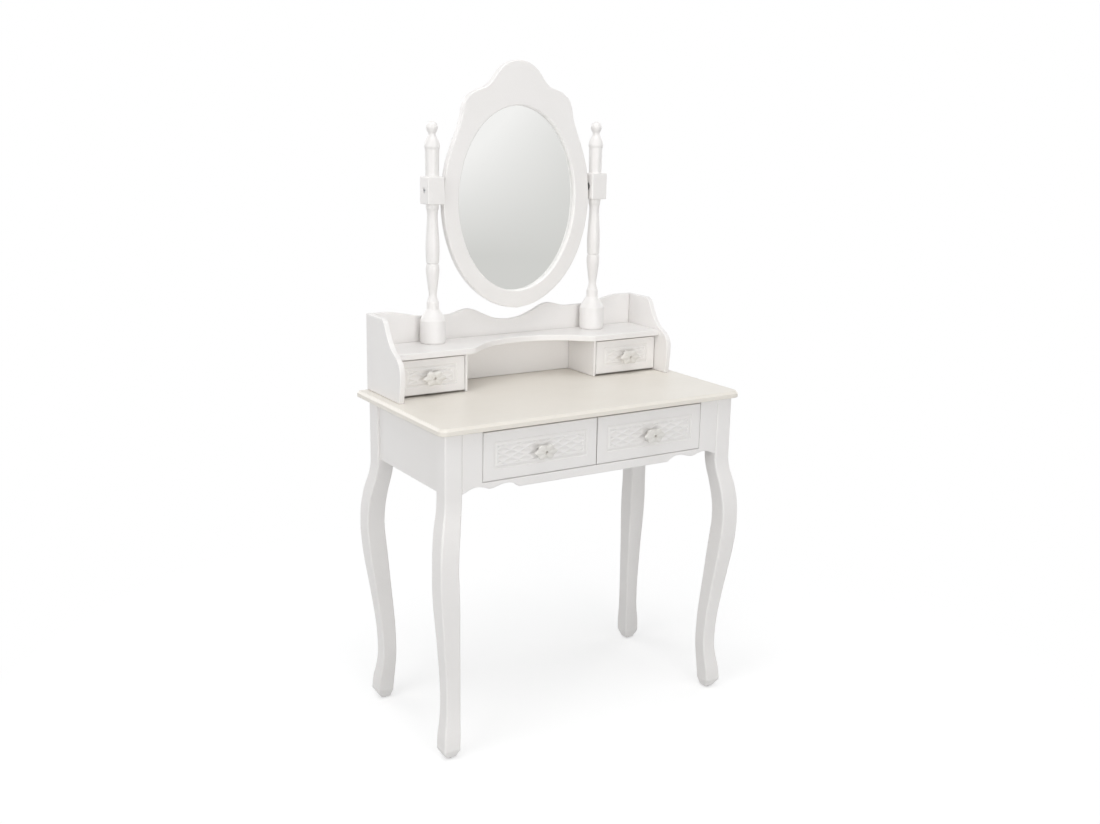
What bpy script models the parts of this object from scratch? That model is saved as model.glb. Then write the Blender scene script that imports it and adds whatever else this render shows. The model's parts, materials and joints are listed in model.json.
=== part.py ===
"""A dressing table with cabriole legs, four drawers, a small hutch and a tilting mirror.

Metres, +Z up. X runs to the right of someone sitting at the table, Y runs to the back,
and the floor is Z = 0. Places are written from the middle of the desktop's footprint.
The stand empty moves them all, so that the origin is the middle of the whole footprint.
"""
import math

import bpy
import bmesh
from mathutils import Matrix, Vector

# Gaps and cuts
SEAT_GAP = 0.0003
CUT_OVERRUN = 0.002
WELD_DISTANCE = 0.00003
FLAT_ANGLE = math.radians(0.1)

# How finely round shapes are divided
ROUND_STEPS = 12
NUT_SIDES = 8
CORNER_STEPS = 6
SCALLOP_POINTS = 20
SIDE_POINTS = 18
CREST_POINTS = 22
BOW_POINTS = 14
MIRROR_POINTS = 34

# Desktop
DESK_WIDTH = 0.754
DESK_DEPTH = 0.400
DESK_HEIGHT = 0.720
TOP_THICKNESS = 0.015
TOP_CORNER_RADIUS = 0.018
TOP_STEP_INSET = 0.0042
TOP_STEP_HEIGHT = 0.0042
TOP_EDGE_ROUND = 0.0017

# Legs
LEG_BLOCK = 0.040
LEG_SIDE_INSET = 0.0145
LEG_FRONT_INSET = 0.012
LEG_BACK_INSET = 0.028
LEG_SHOULDER_DROP = 0.0115
LEG_EDGE_ROUND = 0.0035
LEG_RINGS = 20
GLIDE_RADIUS = 0.0075
GLIDE_HEIGHT = 0.003

# Aprons, rail and stiles
APRON_THICKNESS = 0.015
APRON_RECESS = 0.007
APRON_HEIGHT = 0.1285
FRONT_RECESS = 0.002
RAIL_HEIGHT = 0.0193
STILE_WIDTH = 0.0467
SCALLOP_LENGTH = 0.1322
SCALLOP_DEPTH = 0.0115

# Large drawers
LARGE_REVEAL_ABOVE = 0.003
LARGE_REVEAL_UNDER = 0.0008
FRONT_THICKNESS = 0.015
PARTITION_THICKNESS = 0.015
GUIDE_THICKNESS = 0.012
LEDGE_WIDTH = 0.012
LEDGE_HEIGHT = 0.008
LARGE_RUN_CLEARANCE = 0.0015
LARGE_BOARD = 0.010
LARGE_BOX_HEIGHT = 0.078
LARGE_BOTTOM = 0.004
LARGE_BACK_CLEARANCE = 0.020

# Small drawers
SMALL_BAY_WIDTH = 0.1685
SMALL_REVEAL_ABOVE = 0.002
SMALL_REVEAL_UNDER = 0.0042
SMALL_FRONT_THICKNESS = 0.012
SMALL_RUN_CLEARANCE = 0.0010
SMALL_BOARD = 0.008
SMALL_BOX_HEIGHT = 0.062
SMALL_BOTTOM = 0.003
SMALL_BACK_CLEARANCE = 0.006

# What every drawer shares
DRAWER_REVEAL = 0.0010
GROOVE_DEPTH = 0.004
GROOVE_UP = 0.006
FRONT_EDGE_ROUND = 0.0012
BOX_EDGE_ROUND = 0.0008

# Lattice panel routed into the drawer fronts
LARGE_PANEL_SIDE_MARGIN = 0.024
LARGE_PANEL_MARGIN = 0.0239
SMALL_PANEL_SIDE_MARGIN = 0.020
SMALL_PANEL_MARGIN = 0.0174
PANEL_BORDER = 0.0093
PANEL_GROOVE = 0.0065
LATTICE_HALF_LENGTH = 0.01825
LATTICE_HALF_HEIGHT = 0.0077
LATTICE_RIB = 0.0024
LATTICE_DEPTH = 0.0016
SMALLEST_POCKET_SHARE = 0.08

# Drawer pulls
PULL_LENGTH = 0.055
PULL_HEIGHT = 0.034
PULL_HEAD = 0.005
PULL_REACH = 0.0215
PULL_DROP = 0.0025
PULL_NOTCH_SHARE = 0.26
PULL_LOBES = 6
PULL_POINTS = 36
NECK_RADIUS = 0.0095
DIMPLE_RADIUS = 0.0027
DIMPLE_DEPTH = 0.0018
SCREW_RADIUS = 0.0020
SCREW_HEAD_RADIUS = 0.0045
SCREW_HEAD_HEIGHT = 0.0022
SCREW_BITE = 0.008

# Corner brackets and hanger bolts
BRACKET_STEEL = 0.002
BRACKET_HEIGHT = 0.040
BRACKET_REACH = 0.049
BRACKET_FLANGE = 0.014
HANGER_RADIUS = 0.003
HANGER_BITE = 0.016
HANGER_NUT_RADIUS = 0.006
HANGER_NUT_HEIGHT = 0.005
HANGER_TAIL = 0.004

# Hutch
HUTCH_SIDE_INSET = 0.024
HUTCH_DEPTH = 0.169
HUTCH_HEIGHT = 0.1695
HUTCH_BOARD = 0.012
SHELF_UNDER = 0.0855
SHELF_THICKNESS = 0.0135
SHELF_DEPTH = 0.135
DIVIDER_THICKNESS = 0.006
DIVIDER_DEPTH = 0.121
BOW_END_INSET = 0.0015
BOW_DEPTH = 0.071
BOARD_EDGE_ROUND = 0.0018

# Mirror posts
POST_SIDE_INSET = 0.142
POST_HEIGHT = 0.479
POST_BASE_RADIUS = 0.0285
POST_BACK_GAP = 0.0005
POST_STEPS = 16
BLOCK_SIDE = 0.040
BLOCK_HEIGHT = 0.059
BLOCK_EDGE_ROUND = 0.0015
PIVOT_ABOVE_SHELF = 0.3335

# Mirror
MIRROR_CLEARANCE = 0.0645
MIRROR_SIDE_GAP = 0.003
MIRROR_BOARD = 0.018
MIRROR_EDGE_ROUND = 0.003
FRAME_BORDER = 0.038
SIGHT_HEIGHT = 0.4085
SIGHT_ABOVE_BOTTOM = 0.040
CREST_HEIGHT = 0.097
LIP_THICKNESS = 0.010
REBATE_WIDTH = 0.007
GLASS_THICKNESS = 0.004
OVAL_POINTS = 44

# Pivots
PIVOT_BOLT_RADIUS = 0.003
PIVOT_RUN_GAP = 0.0006
PIVOT_BITE = 0.022
PIVOT_HEAD_RADIUS = 0.0052
PIVOT_HEAD_HEIGHT = 0.004
PIVOT_SINK = 0.0065
SPACER_RADIUS = 0.009

# Outlines, as shares of the sizes that they follow.
# Leg: height under the straight block, outer face and inner face in half blocks.
LEG_SHARES = (
    (1.000, 1.00, -1.00), (0.955, 1.15, -0.86), (0.885, 1.62, -0.51), (0.814, 1.89, -0.25),
    (0.743, 1.955, -0.18), (0.673, 1.89, -0.30), (0.602, 1.715, -0.45), (0.531, 1.465, -0.58),
    (0.460, 1.21, -0.715), (0.389, 0.98, -0.855), (0.319, 0.78, -0.97), (0.248, 0.67, -1.025),
    (0.195, 0.67, -1.025), (0.142, 0.815, -0.945), (0.088, 1.09, -0.83), (0.035, 1.20, -0.725),
)
LEG_FOOT_SHARES = (0.68, -0.46)
# Scallop: way from its start to the leg, and depth of the cut.
SCALLOP_SHARES = (
    (0.00, 0.00), (0.05, 0.45), (0.13, 0.90), (0.22, 1.00), (0.30, 0.92), (0.40, 0.60), (0.47, 0.43),
    (0.53, 0.43), (0.62, 0.75), (0.70, 0.97), (0.77, 1.00), (0.85, 0.80), (0.93, 0.40), (1.00, 0.12),
)
# Hutch side: way from the back to the nose, and height.
SIDE_SHARES = (
    (0.964, 0.00), (0.985, 0.12), (1.00, 0.30), (0.994, 0.42), (0.965, 0.49), (0.905, 0.55),
    (0.82, 0.60), (0.74, 0.655), (0.67, 0.73), (0.61, 0.82), (0.57, 0.90), (0.525, 0.965), (0.46, 1.00),
)
# Hutch back: way from the middle to the side, and height.
CREST_SHARES = (
    (1.00, 1.00), (0.88, 1.00), (0.76, 0.955), (0.65, 0.915), (0.54, 0.905), (0.44, 0.908),
    (0.37, 0.945), (0.315, 0.962), (0.26, 0.94), (0.18, 0.865), (0.09, 0.800), (0.00, 0.782),
)
# Shelf bow: way from the middle to the dividers, and depth of the cut.
BOW_SHARES = (
    (1.00, 0.00), (0.94, 0.03), (0.88, 0.12), (0.82, 0.25), (0.73, 0.43), (0.64, 0.59),
    (0.50, 0.77), (0.34, 0.90), (0.17, 0.975), (0.00, 1.00),
)
# Mirror: way from the middle to the widest place, and height from the bottom.
MIRROR_SHARES = (
    (0.00, 1.000), (0.108, 0.994), (0.215, 0.975), (0.296, 0.947), (0.36, 0.918), (0.43, 0.897),
    (0.53, 0.884), (0.615, 0.872), (0.69, 0.850), (0.735, 0.819), (0.757, 0.782), (0.785, 0.748),
    (0.825, 0.712), (0.88, 0.665), (0.94, 0.605), (0.98, 0.540), (1.00, 0.455), (0.985, 0.375),
    (0.935, 0.293), (0.835, 0.204), (0.69, 0.127), (0.485, 0.061), (0.245, 0.016), (0.00, 0.000),
)
# Post: height above the shelf, and radius in base radii, from the top down.
POST_SHARES = (
    (1.000, 0.00), (0.996, 0.20), (0.988, 0.36), (0.973, 0.448), (0.957, 0.38), (0.947, 0.29),
    (0.936, 0.30), (0.921, 0.45), (0.905, 0.55), (0.889, 0.593), (0.876, 0.545), (0.765, 0.515),
    (0.637, 0.490), (0.616, 0.485), (0.604, 0.43), (0.573, 0.405), (0.506, 0.475), (0.4405, 0.535),
    (0.371, 0.50), (0.366, 0.44), (0.361, 0.50), (0.329, 0.517), (0.265, 0.39), (0.225, 0.315),
    (0.200, 0.40), (0.190, 0.475), (0.160, 0.475), (0.128, 0.80), (0.105, 1.00), (0.000, 1.00),
)
# Pull's neck: reach from the drawer front, and radius in neck radii, from the head back.
NECK_SHARES = (
    (0.90, 0.00), (0.90, 0.80), (0.78, 0.72), (0.62, 0.52),
    (0.45, 0.46), (0.28, 0.52), (0.12, 0.80), (0.00, 1.00),
)

# Finishes: colour, roughness and metallic
WHITE_PAINT = ((0.86, 0.85, 0.83), 0.38, 0.0)
CREAM_PAINT = ((0.80, 0.77, 0.71), 0.32, 0.0)
DRAWER_BOARD = ((0.82, 0.80, 0.76), 0.55, 0.0)
HARDBOARD = ((0.42, 0.31, 0.21), 0.75, 0.0)
PULL_ENAMEL = ((0.74, 0.72, 0.66), 0.35, 0.3)
ZINC_STEEL = ((0.62, 0.63, 0.64), 0.35, 1.0)
SILVERED_GLASS = ((0.90, 0.91, 0.92), 0.03, 1.0)
DARK_PLASTIC = ((0.06, 0.06, 0.06), 0.6, 0.0)

# Places that follow from the sizes
half_width = DESK_WIDTH / 2
half_depth = DESK_DEPTH / 2
half_block = LEG_BLOCK / 2
top_under = DESK_HEIGHT - TOP_THICKNESS
leg_x = half_width - LEG_SIDE_INSET - half_block
leg_front_y = -half_depth + LEG_FRONT_INSET + half_block
leg_back_y = half_depth - LEG_BACK_INSET - half_block
leg_inner_x = leg_x - half_block
apron_outer_x = leg_x + half_block - APRON_RECESS
apron_inner_x = apron_outer_x - APRON_THICKNESS
apron_bottom = top_under - APRON_HEIGHT
leg_curve_top = apron_bottom - LEG_SHOULDER_DROP
frame_front_y = leg_front_y - half_block + FRONT_RECESS
frame_inner_y = frame_front_y + APRON_THICKNESS
back_apron_outer_y = leg_back_y + half_block - APRON_RECESS
back_apron_inner_y = back_apron_outer_y - APRON_THICKNESS
opening_bottom = apron_bottom + RAIL_HEIGHT
rail_end = leg_inner_x - SEAT_GAP
opening_half_width = rail_end - STILE_WIDTH
guide_inner_x = opening_half_width + SEAT_GAP
hutch_half_width = half_width - HUTCH_SIDE_INSET
hutch_inner_x = hutch_half_width - HUTCH_BOARD
hutch_back_y = half_depth - HUTCH_BOARD
hutch_top = DESK_HEIGHT + HUTCH_HEIGHT
shelf_bottom = DESK_HEIGHT + SHELF_UNDER
shelf_top = shelf_bottom + SHELF_THICKNESS
shelf_front_y = half_depth - SHELF_DEPTH
divider_outer_x = hutch_inner_x - SMALL_BAY_WIDTH
bay_half_width = divider_outer_x - DIVIDER_THICKNESS
bow_half_width = bay_half_width - BOW_END_INSET
divider_front_y = half_depth - DIVIDER_DEPTH
post_y = hutch_back_y - POST_BACK_GAP - POST_BASE_RADIUS
post_x = hutch_half_width - POST_SIDE_INSET
pivot_z = shelf_top + PIVOT_ABOVE_SHELF
mirror_bottom = shelf_top + MIRROR_CLEARANCE
mirror_half_width = post_x - BLOCK_SIDE / 2 - MIRROR_SIDE_GAP
mirror_height = SIGHT_ABOVE_BOTTOM + SIGHT_HEIGHT + CREST_HEIGHT
sight_width = 2 * (mirror_half_width - FRAME_BORDER)
bracket_z = top_under - APRON_HEIGHT / 2
pull_reach = PULL_REACH + SEAT_GAP
stand_shift = (pull_reach - frame_front_y - half_depth) / 2
SIDES = (("left", -1), ("right", 1))


def clear_scene():
    """Removes what the scene holds, so that the model is built from nothing."""
    for old in list(bpy.data.objects):
        bpy.data.objects.remove(old)


def new_collection(name):
    group = bpy.data.collections.new(name)
    bpy.context.scene.collection.children.link(group)
    return group


clear_scene()
pieces = new_collection("dressing_table")
cutters = new_collection("cutters")


def finish_material(name, finish):
    """A Principled material of one sub-part."""
    colour, roughness, metallic = finish
    material = bpy.data.materials.new(name)
    material.use_nodes = True
    shader = material.node_tree.nodes["Principled BSDF"]
    shader.inputs["Base Color"].default_value = (*colour, 1.0)
    shader.inputs["Roughness"].default_value = roughness
    shader.inputs["Metallic"].default_value = metallic
    material.diffuse_color = (*colour, 1.0)
    return material


def empty_at(name, place, parent=None):
    holder = bpy.data.objects.new(name, None)
    holder.location = place
    holder.parent = parent
    pieces.objects.link(holder)
    return holder


stand = empty_at("stand", (0, stand_shift, 0))


def add_piece(name, mesh, finish, place=(0, 0, 0), parent=stand):
    """Puts a sub-part into the model with its own material."""
    piece = bpy.data.objects.new(name, mesh)
    piece.location = place
    piece.parent = parent
    piece.data.materials.clear()
    piece.data.materials.append(finish_material(name, finish))
    pieces.objects.link(piece)
    return piece


def add_tool(name, mesh, place=(0, 0, 0), parent=stand):
    """Adds a shape that only cuts or joins."""
    tool = bpy.data.objects.new(name, mesh)
    tool.location = place
    tool.parent = parent
    tool.hide_render = True
    tool.display_type = "WIRE"
    cutters.objects.link(tool)
    return tool


def combine(piece, tool, operation):
    step = piece.modifiers.new(tool.name, "BOOLEAN")
    step.operation = operation
    step.solver = "EXACT"
    step.object = tool


def cut(piece, tool):
    combine(piece, tool, "DIFFERENCE")


def join(piece, tool):
    combine(piece, tool, "UNION")


def round_edges(piece, width, segments=2, angle=40):
    """Rounds the edges that are sharper than the angle, in degrees."""
    step = piece.modifiers.new("rounded_edges", "BEVEL")
    step.width = width
    step.segments = segments
    step.limit_method = "ANGLE"
    step.angle_limit = math.radians(angle)


def shade_round(mesh, angle=35):
    mesh.shade_smooth()
    mesh.set_sharp_from_angle(angle=math.radians(angle))


def mesh_from(bm, name):
    mesh = bpy.data.meshes.new(name)
    bm.to_mesh(mesh)
    bm.free()
    return mesh


def box_mesh(name, size):
    bm = bmesh.new()
    bmesh.ops.create_cube(bm, size=1)
    bmesh.ops.scale(bm, vec=size, verts=bm.verts)
    return mesh_from(bm, name)


def between(low, high):
    """The middle and the size of a box given by its two corners."""
    low = Vector(low)
    high = Vector(high)
    return (low + high) / 2, high - low


def board(name, low, high, finish, parent=stand, edge=0):
    """A board between two corners, with its edges rounded if edge is given."""
    middle, size = between(low, high)
    piece = add_piece(name, box_mesh(name, size), finish, middle, parent)
    if edge:
        round_edges(piece, edge, segments=1)
    return piece


def box_tool(name, low, high, parent=stand):
    middle, size = between(low, high)
    return add_tool(name, box_mesh(name, size), middle, parent)


def rod_mesh(name, radius, length, axis="Z", steps=ROUND_STEPS):
    """A round rod on an axis, from zero along it."""
    bm = bmesh.new()
    bmesh.ops.create_cone(bm, cap_ends=True, segments=steps, radius1=radius, radius2=radius, depth=length)
    bmesh.ops.translate(bm, vec=(0, 0, length / 2), verts=bm.verts)
    turns = {"X": Matrix.Rotation(math.pi / 2, 4, "Y"), "Y": Matrix.Rotation(-math.pi / 2, 4, "X")}
    if axis in turns:
        bmesh.ops.transform(bm, matrix=turns[axis], verts=bm.verts)
    mesh = mesh_from(bm, name)
    shade_round(mesh)
    return mesh


def evaluated_mesh(holder):
    """The mesh that an object's curve or modifier makes. The object itself is removed."""
    cutters.objects.link(holder)
    bpy.context.view_layer.update()
    graph = bpy.context.evaluated_depsgraph_get()
    mesh = bpy.data.meshes.new_from_object(holder.evaluated_get(graph))
    bpy.data.objects.remove(holder)
    return mesh


def outline_mesh(name, thickness, outlines):
    """A plate across XY, filled from its outline and its holes, with Z = 0 at mid thickness."""
    curve = bpy.data.curves.new(name, "CURVE")
    curve.dimensions = "2D"
    curve.fill_mode = "BOTH"
    curve.extrude = thickness / 2
    for outline in outlines:
        spline = curve.splines.new("POLY")
        spline.points.add(len(outline) - 1)
        for point, (x, y) in zip(spline.points, outline):
            point.co = (x, y, 0, 1)
        spline.use_cyclic_u = True
    mesh = evaluated_mesh(bpy.data.objects.new(name, curve))
    bm = bmesh.new()
    bm.from_mesh(mesh)
    bmesh.ops.remove_doubles(bm, verts=bm.verts, dist=WELD_DISTANCE)
    bmesh.ops.recalc_face_normals(bm, faces=bm.faces)
    bmesh.ops.dissolve_limit(bm, angle_limit=FLAT_ANGLE, verts=bm.verts, edges=bm.edges)
    bm.to_mesh(mesh)
    bm.free()
    shade_round(mesh)
    return mesh


def facing_front(mesh):
    """Stands a plate up, so that its outline is in X and Z."""
    mesh.transform(Matrix.Rotation(math.pi / 2, 4, "X"))
    return mesh


def facing_side(mesh):
    """Stands a plate up, so that its outline is in Y and Z."""
    mesh.transform(Matrix.Rotation(math.pi / 2, 4, "Z") @ Matrix.Rotation(math.pi / 2, 4, "X"))
    return mesh


def both_halves(half):
    """Closes an outline whose right half starts and ends on the middle line."""
    return half + [(-x, y) for x, y in reversed(half) if x > 0]


def smooth_through(points, count):
    """Reads count points, evenly spread by share, from a smooth curve through the points."""
    ends = [points[0]] + list(points) + [points[-1]]
    spans = len(points) - 1
    read = []
    for i in range(count):
        place = i * spans / (count - 1)
        k = min(int(place), spans - 1)
        t = place - k
        near = ends[k:k + 4]
        read.append(tuple(
            ((2 * b) + (c - a) * t + (2 * a - 5 * b + 4 * c - d) * t * t + (3 * b - a - 3 * c + d) * t ** 3) / 2
            for a, b, c, d in zip(*near)
        ))
    return read


def turned_mesh(name, profile, steps=ROUND_STEPS, ring=False):
    """A solid turned on Z, from radii and heights listed down its outer side."""
    bm = bmesh.new()
    verts = [bm.verts.new((radius, 0, height)) for radius, height in profile]
    for upper, lower in zip(verts, verts[1:]):
        bm.edges.new((upper, lower))
    if ring:
        bm.edges.new((verts[-1], verts[0]))
    holder = bpy.data.objects.new(name, mesh_from(bm, name))
    turn = holder.modifiers.new("turning", "SCREW")
    turn.steps = steps
    turn.render_steps = steps
    turn.use_merge_vertices = True
    turn.merge_threshold = WELD_DISTANCE
    mesh = evaluated_mesh(holder)
    shade_round(mesh)
    return mesh


def make_desktop():
    """The top: a lower board, and an upper one set in on the front and the sides."""
    step_z = DESK_HEIGHT - TOP_STEP_HEIGHT
    lower = outline_mesh("desktop", step_z - top_under, [top_outline(0)])
    desktop = add_piece("desktop", lower, CREAM_PAINT, (0, 0, (top_under + step_z) / 2))
    upper_low = step_z - CUT_OVERRUN
    upper = outline_mesh("desktop_step", DESK_HEIGHT - upper_low, [top_outline(TOP_STEP_INSET)])
    join(desktop, add_tool("desktop_step", upper, (0, 0, (DESK_HEIGHT + upper_low) / 2)))
    round_edges(desktop, TOP_EDGE_ROUND)


def top_outline(inset):
    radius = TOP_CORNER_RADIUS - inset
    corner_x = half_width - TOP_CORNER_RADIUS
    corner_y = TOP_CORNER_RADIUS - half_depth
    quarter = [i * math.pi / 2 / CORNER_STEPS for i in range(CORNER_STEPS + 1)]
    arc = [(corner_x + radius * math.sin(a), corner_y - radius * math.cos(a)) for a in quarter]
    return both_halves([(0, corner_y - radius)] + arc + [(half_width - inset, half_depth), (0, half_depth)])


def leg_rings():
    """Height, outer face and inner face of each ring of a leg, from the foot up."""
    curve = [
        (leg_curve_top * height, half_block * outer, half_block * inner)
        for height, outer, inner in smooth_through(LEG_SHARES, LEG_RINGS)
    ]
    foot_outer, foot_inner = LEG_FOOT_SHARES
    foot = (GLIDE_HEIGHT + SEAT_GAP, half_block * foot_outer, half_block * foot_inner)
    head = (top_under - SEAT_GAP, half_block, -half_block)
    return [foot] + curve[::-1] + [head]


def leg_mesh(name):
    """A square raised ring by ring, which bows out towards +X and +Y."""
    bm = bmesh.new()
    bmesh.ops.create_grid(bm, x_segments=1, y_segments=1, size=1)
    face = bm.faces[:][0]
    for step, (height, outer, inner) in enumerate(leg_rings()):
        if step:
            covered = [face] if step > 1 else []
            raised = bmesh.ops.extrude_face_region(bm, geom=[face])["geom"]
            face = next(item for item in raised if isinstance(item, bmesh.types.BMFace))
            bmesh.ops.delete(bm, geom=covered, context="FACES_ONLY")
        middle = face.calc_center_median()
        for vert in face.verts:
            x = outer if vert.co.x > middle.x else inner
            y = outer if vert.co.y > middle.y else inner
            vert.co = (x, y, height)
    bmesh.ops.recalc_face_normals(bm, faces=bm.faces)
    return mesh_from(bm, name)


def make_legs():
    """Four legs, each turned so that it bows out to its own corner, with what holds it to the frame."""
    corners = (
        ("back_right", leg_x, leg_back_y), ("back_left", -leg_x, leg_back_y),
        ("front_left", -leg_x, leg_front_y), ("front_right", leg_x, leg_front_y),
    )
    foot_middle = half_block * sum(LEG_FOOT_SHARES) / 2
    bore_start = half_block * math.sqrt(2) - HANGER_BITE
    for quarter, (corner, x, y) in enumerate(corners):
        turn = Matrix.Translation((x, y, 0)) @ Matrix.Rotation(quarter * math.pi / 2, 4, "Z")
        leg = add_piece("leg_" + corner, leg_mesh("leg_" + corner), WHITE_PAINT)
        leg.matrix_basis = turn
        round_edges(leg, LEG_EDGE_ROUND)
        bore = rod_mesh("leg_bore", HANGER_RADIUS + SEAT_GAP, HANGER_BITE + SEAT_GAP + CUT_OVERRUN, "X")
        tool = add_tool("leg_bore_" + corner, bore)
        tool.matrix_basis = turn @ inward_at(bracket_z, bore_start - SEAT_GAP)
        cut(leg, tool)
        glide = add_piece("leg_glide_" + corner, rod_mesh("glide", GLIDE_RADIUS, GLIDE_HEIGHT), DARK_PLASTIC)
        glide.matrix_basis = turn @ Matrix.Translation((foot_middle, foot_middle, 0))

        faces = board_faces("front" in corner, quarter)
        middle = turn @ Matrix.Translation((0, 0, bracket_z))
        make_bracket("corner_bracket_" + corner, faces, middle)
        make_hanger("hanger_bolt_" + corner, faces, bore_start, turn @ inward_at(bracket_z, bore_start))


def inward_at(height, distance):
    """Places the X axis along a leg's diagonal, towards the middle of the table."""
    inward = Matrix.Rotation(math.radians(225), 4, "Z")
    return Matrix.Translation((0, 0, height)) @ inward @ Matrix.Translation((distance, 0, 0))


def board_faces(front, quarter):
    """Where a bracket's flanges lie on the boards, along a leg's own X and Y, from its middle."""
    on_side = half_block - APRON_RECESS - APRON_THICKNESS - SEAT_GAP - BRACKET_STEEL / 2
    on_end = on_side
    if front:
        on_end = half_block - FRONT_RECESS - APRON_THICKNESS - SEAT_GAP - BRACKET_STEEL / 2
    return (on_end, on_side) if quarter % 2 else (on_side, on_end)


def strip_distance(faces):
    """How far a bracket's diagonal strip is from the middle of its leg."""
    return (BRACKET_REACH - sum(faces)) / math.sqrt(2)


def make_bracket(name, faces, place):
    """A bent steel strip across a corner, with a hole for the hanger bolt."""
    face_x, face_y = faces
    bend_x = face_x - BRACKET_REACH
    bend_y = face_y - BRACKET_REACH
    path = (
        (face_x, bend_y + BRACKET_FLANGE), (face_x, bend_y),
        (bend_x, face_y), (bend_x + BRACKET_FLANGE, face_y),
    )
    bm = bmesh.new()
    verts = [bm.verts.new((x, y, -BRACKET_HEIGHT / 2)) for x, y in path]
    edges = [bm.edges.new(pair) for pair in zip(verts, verts[1:])]
    raised = bmesh.ops.extrude_edge_only(bm, edges=edges)["geom"]
    upper = [item for item in raised if isinstance(item, bmesh.types.BMVert)]
    bmesh.ops.translate(bm, vec=(0, 0, BRACKET_HEIGHT), verts=upper)
    bracket = add_piece(name, mesh_from(bm, name), ZINC_STEEL)
    bracket.matrix_basis = place
    sheet = bracket.modifiers.new("steel", "SOLIDIFY")
    sheet.thickness = BRACKET_STEEL
    sheet.offset = 0
    sheet.use_even_offset = True
    hole_length = BRACKET_STEEL + 2 * CUT_OVERRUN
    hole = rod_mesh(name + "_hole", HANGER_RADIUS + SEAT_GAP, hole_length, "X", NUT_SIDES)
    tool = add_tool(name + "_hole", hole)
    tool.matrix_basis = place @ inward_at(0, strip_distance(faces) - BRACKET_STEEL / 2 - CUT_OVERRUN)
    cut(bracket, tool)


def make_hanger(name, faces, bore_start, place):
    """A hanger bolt out of a leg's inner corner, with its nut against the bracket."""
    nut_start = strip_distance(faces) + BRACKET_STEEL / 2 + SEAT_GAP - bore_start
    nut_end = nut_start + HANGER_NUT_HEIGHT
    end = nut_end + HANGER_TAIL
    profile = [
        (0, end), (HANGER_RADIUS, end), (HANGER_RADIUS, nut_end), (HANGER_NUT_RADIUS, nut_end),
        (HANGER_NUT_RADIUS, nut_start), (HANGER_RADIUS, nut_start), (HANGER_RADIUS, 0), (0, 0),
    ]
    bolt = add_piece(name, turned_mesh(name, profile, NUT_SIDES), ZINC_STEEL)
    bolt.matrix_basis = place @ Matrix.Rotation(math.pi / 2, 4, "Y")


def make_frame():
    """Aprons, the front frame round the drawers, and what guides the drawers."""
    side_low_y = leg_front_y + half_block + SEAT_GAP
    side_high_y = leg_back_y - half_block - SEAT_GAP
    top = top_under - SEAT_GAP
    for side, sign in SIDES:
        near, far = sorted((sign * apron_inner_x, sign * apron_outer_x))
        board("side_apron_" + side, (near, side_low_y, apron_bottom), (far, side_high_y, top), WHITE_PAINT)
    board(
        "back_apron", (-rail_end, back_apron_inner_y, apron_bottom),
        (rail_end, back_apron_outer_y, top), WHITE_PAINT,
    )
    scallop = [
        (rail_end - (1 - share) * SCALLOP_LENGTH, apron_bottom + depth * SCALLOP_DEPTH)
        for share, depth in smooth_through(SCALLOP_SHARES, SCALLOP_POINTS)
    ]
    opening = [(opening_half_width, top), (opening_half_width, opening_bottom), (0, opening_bottom)]
    outline = both_halves([(0, apron_bottom)] + scallop + [(rail_end, top)] + opening)
    mesh = facing_front(outline_mesh("front_frame", APRON_THICKNESS, [outline]))
    add_piece("front_frame", mesh, WHITE_PAINT, (0, (frame_front_y + frame_inner_y) / 2, 0))
    make_guides(top)


def make_guides(top):
    """The partition and the outer guides, each with the ledges that a drawer's sides run on."""
    length = back_apron_inner_y - frame_inner_y - 2 * SEAT_GAP
    middle_y = (back_apron_inner_y + frame_inner_y) / 2
    ledge_under = opening_bottom - LEDGE_HEIGHT
    half_partition = PARTITION_THICKNESS / 2
    foot = half_partition + LEDGE_WIDTH
    section = both_halves([
        (0, ledge_under), (foot, ledge_under), (foot, opening_bottom), (half_partition, opening_bottom),
        (half_partition, top), (0, top),
    ])
    mesh = facing_front(outline_mesh("drawer_partition", length, [section]))
    add_piece("drawer_partition", mesh, DRAWER_BOARD, (0, middle_y, 0))
    outer = guide_inner_x + GUIDE_THICKNESS
    foot = guide_inner_x - LEDGE_WIDTH
    for side, sign in SIDES:
        section = [
            (foot, ledge_under), (outer, ledge_under), (outer, top), (guide_inner_x, top),
            (guide_inner_x, opening_bottom), (foot, opening_bottom),
        ]
        name = "drawer_guide_" + side
        mesh = outline_mesh(name, length, [[(sign * x, z) for x, z in section]])
        add_piece(name, facing_front(mesh), DRAWER_BOARD, (0, middle_y, 0))


def clipped(outline, axis, limit, side):
    """A convex outline cut off at a limit on one axis. It keeps what is below on side 1, above on side -1."""
    kept = []
    for start, end in zip(outline, outline[1:] + outline[:1]):
        start_room = side * (limit - start[axis])
        end_room = side * (limit - end[axis])
        if start_room > 0:
            kept.append(start)
        if start_room * end_room < 0:
            way = start_room / (start_room - end_room)
            kept.append(tuple(a + way * (b - a) for a, b in zip(start, end)))
    return kept


def outline_area(outline):
    pairs = zip(outline, outline[1:] + outline[:1])
    return abs(sum(a[0] * b[1] - b[0] * a[1] for a, b in pairs)) / 2


def rectangle(half_x, half_y):
    return [(-half_x, -half_y), (half_x, -half_y), (half_x, half_y), (-half_x, half_y)]


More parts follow.
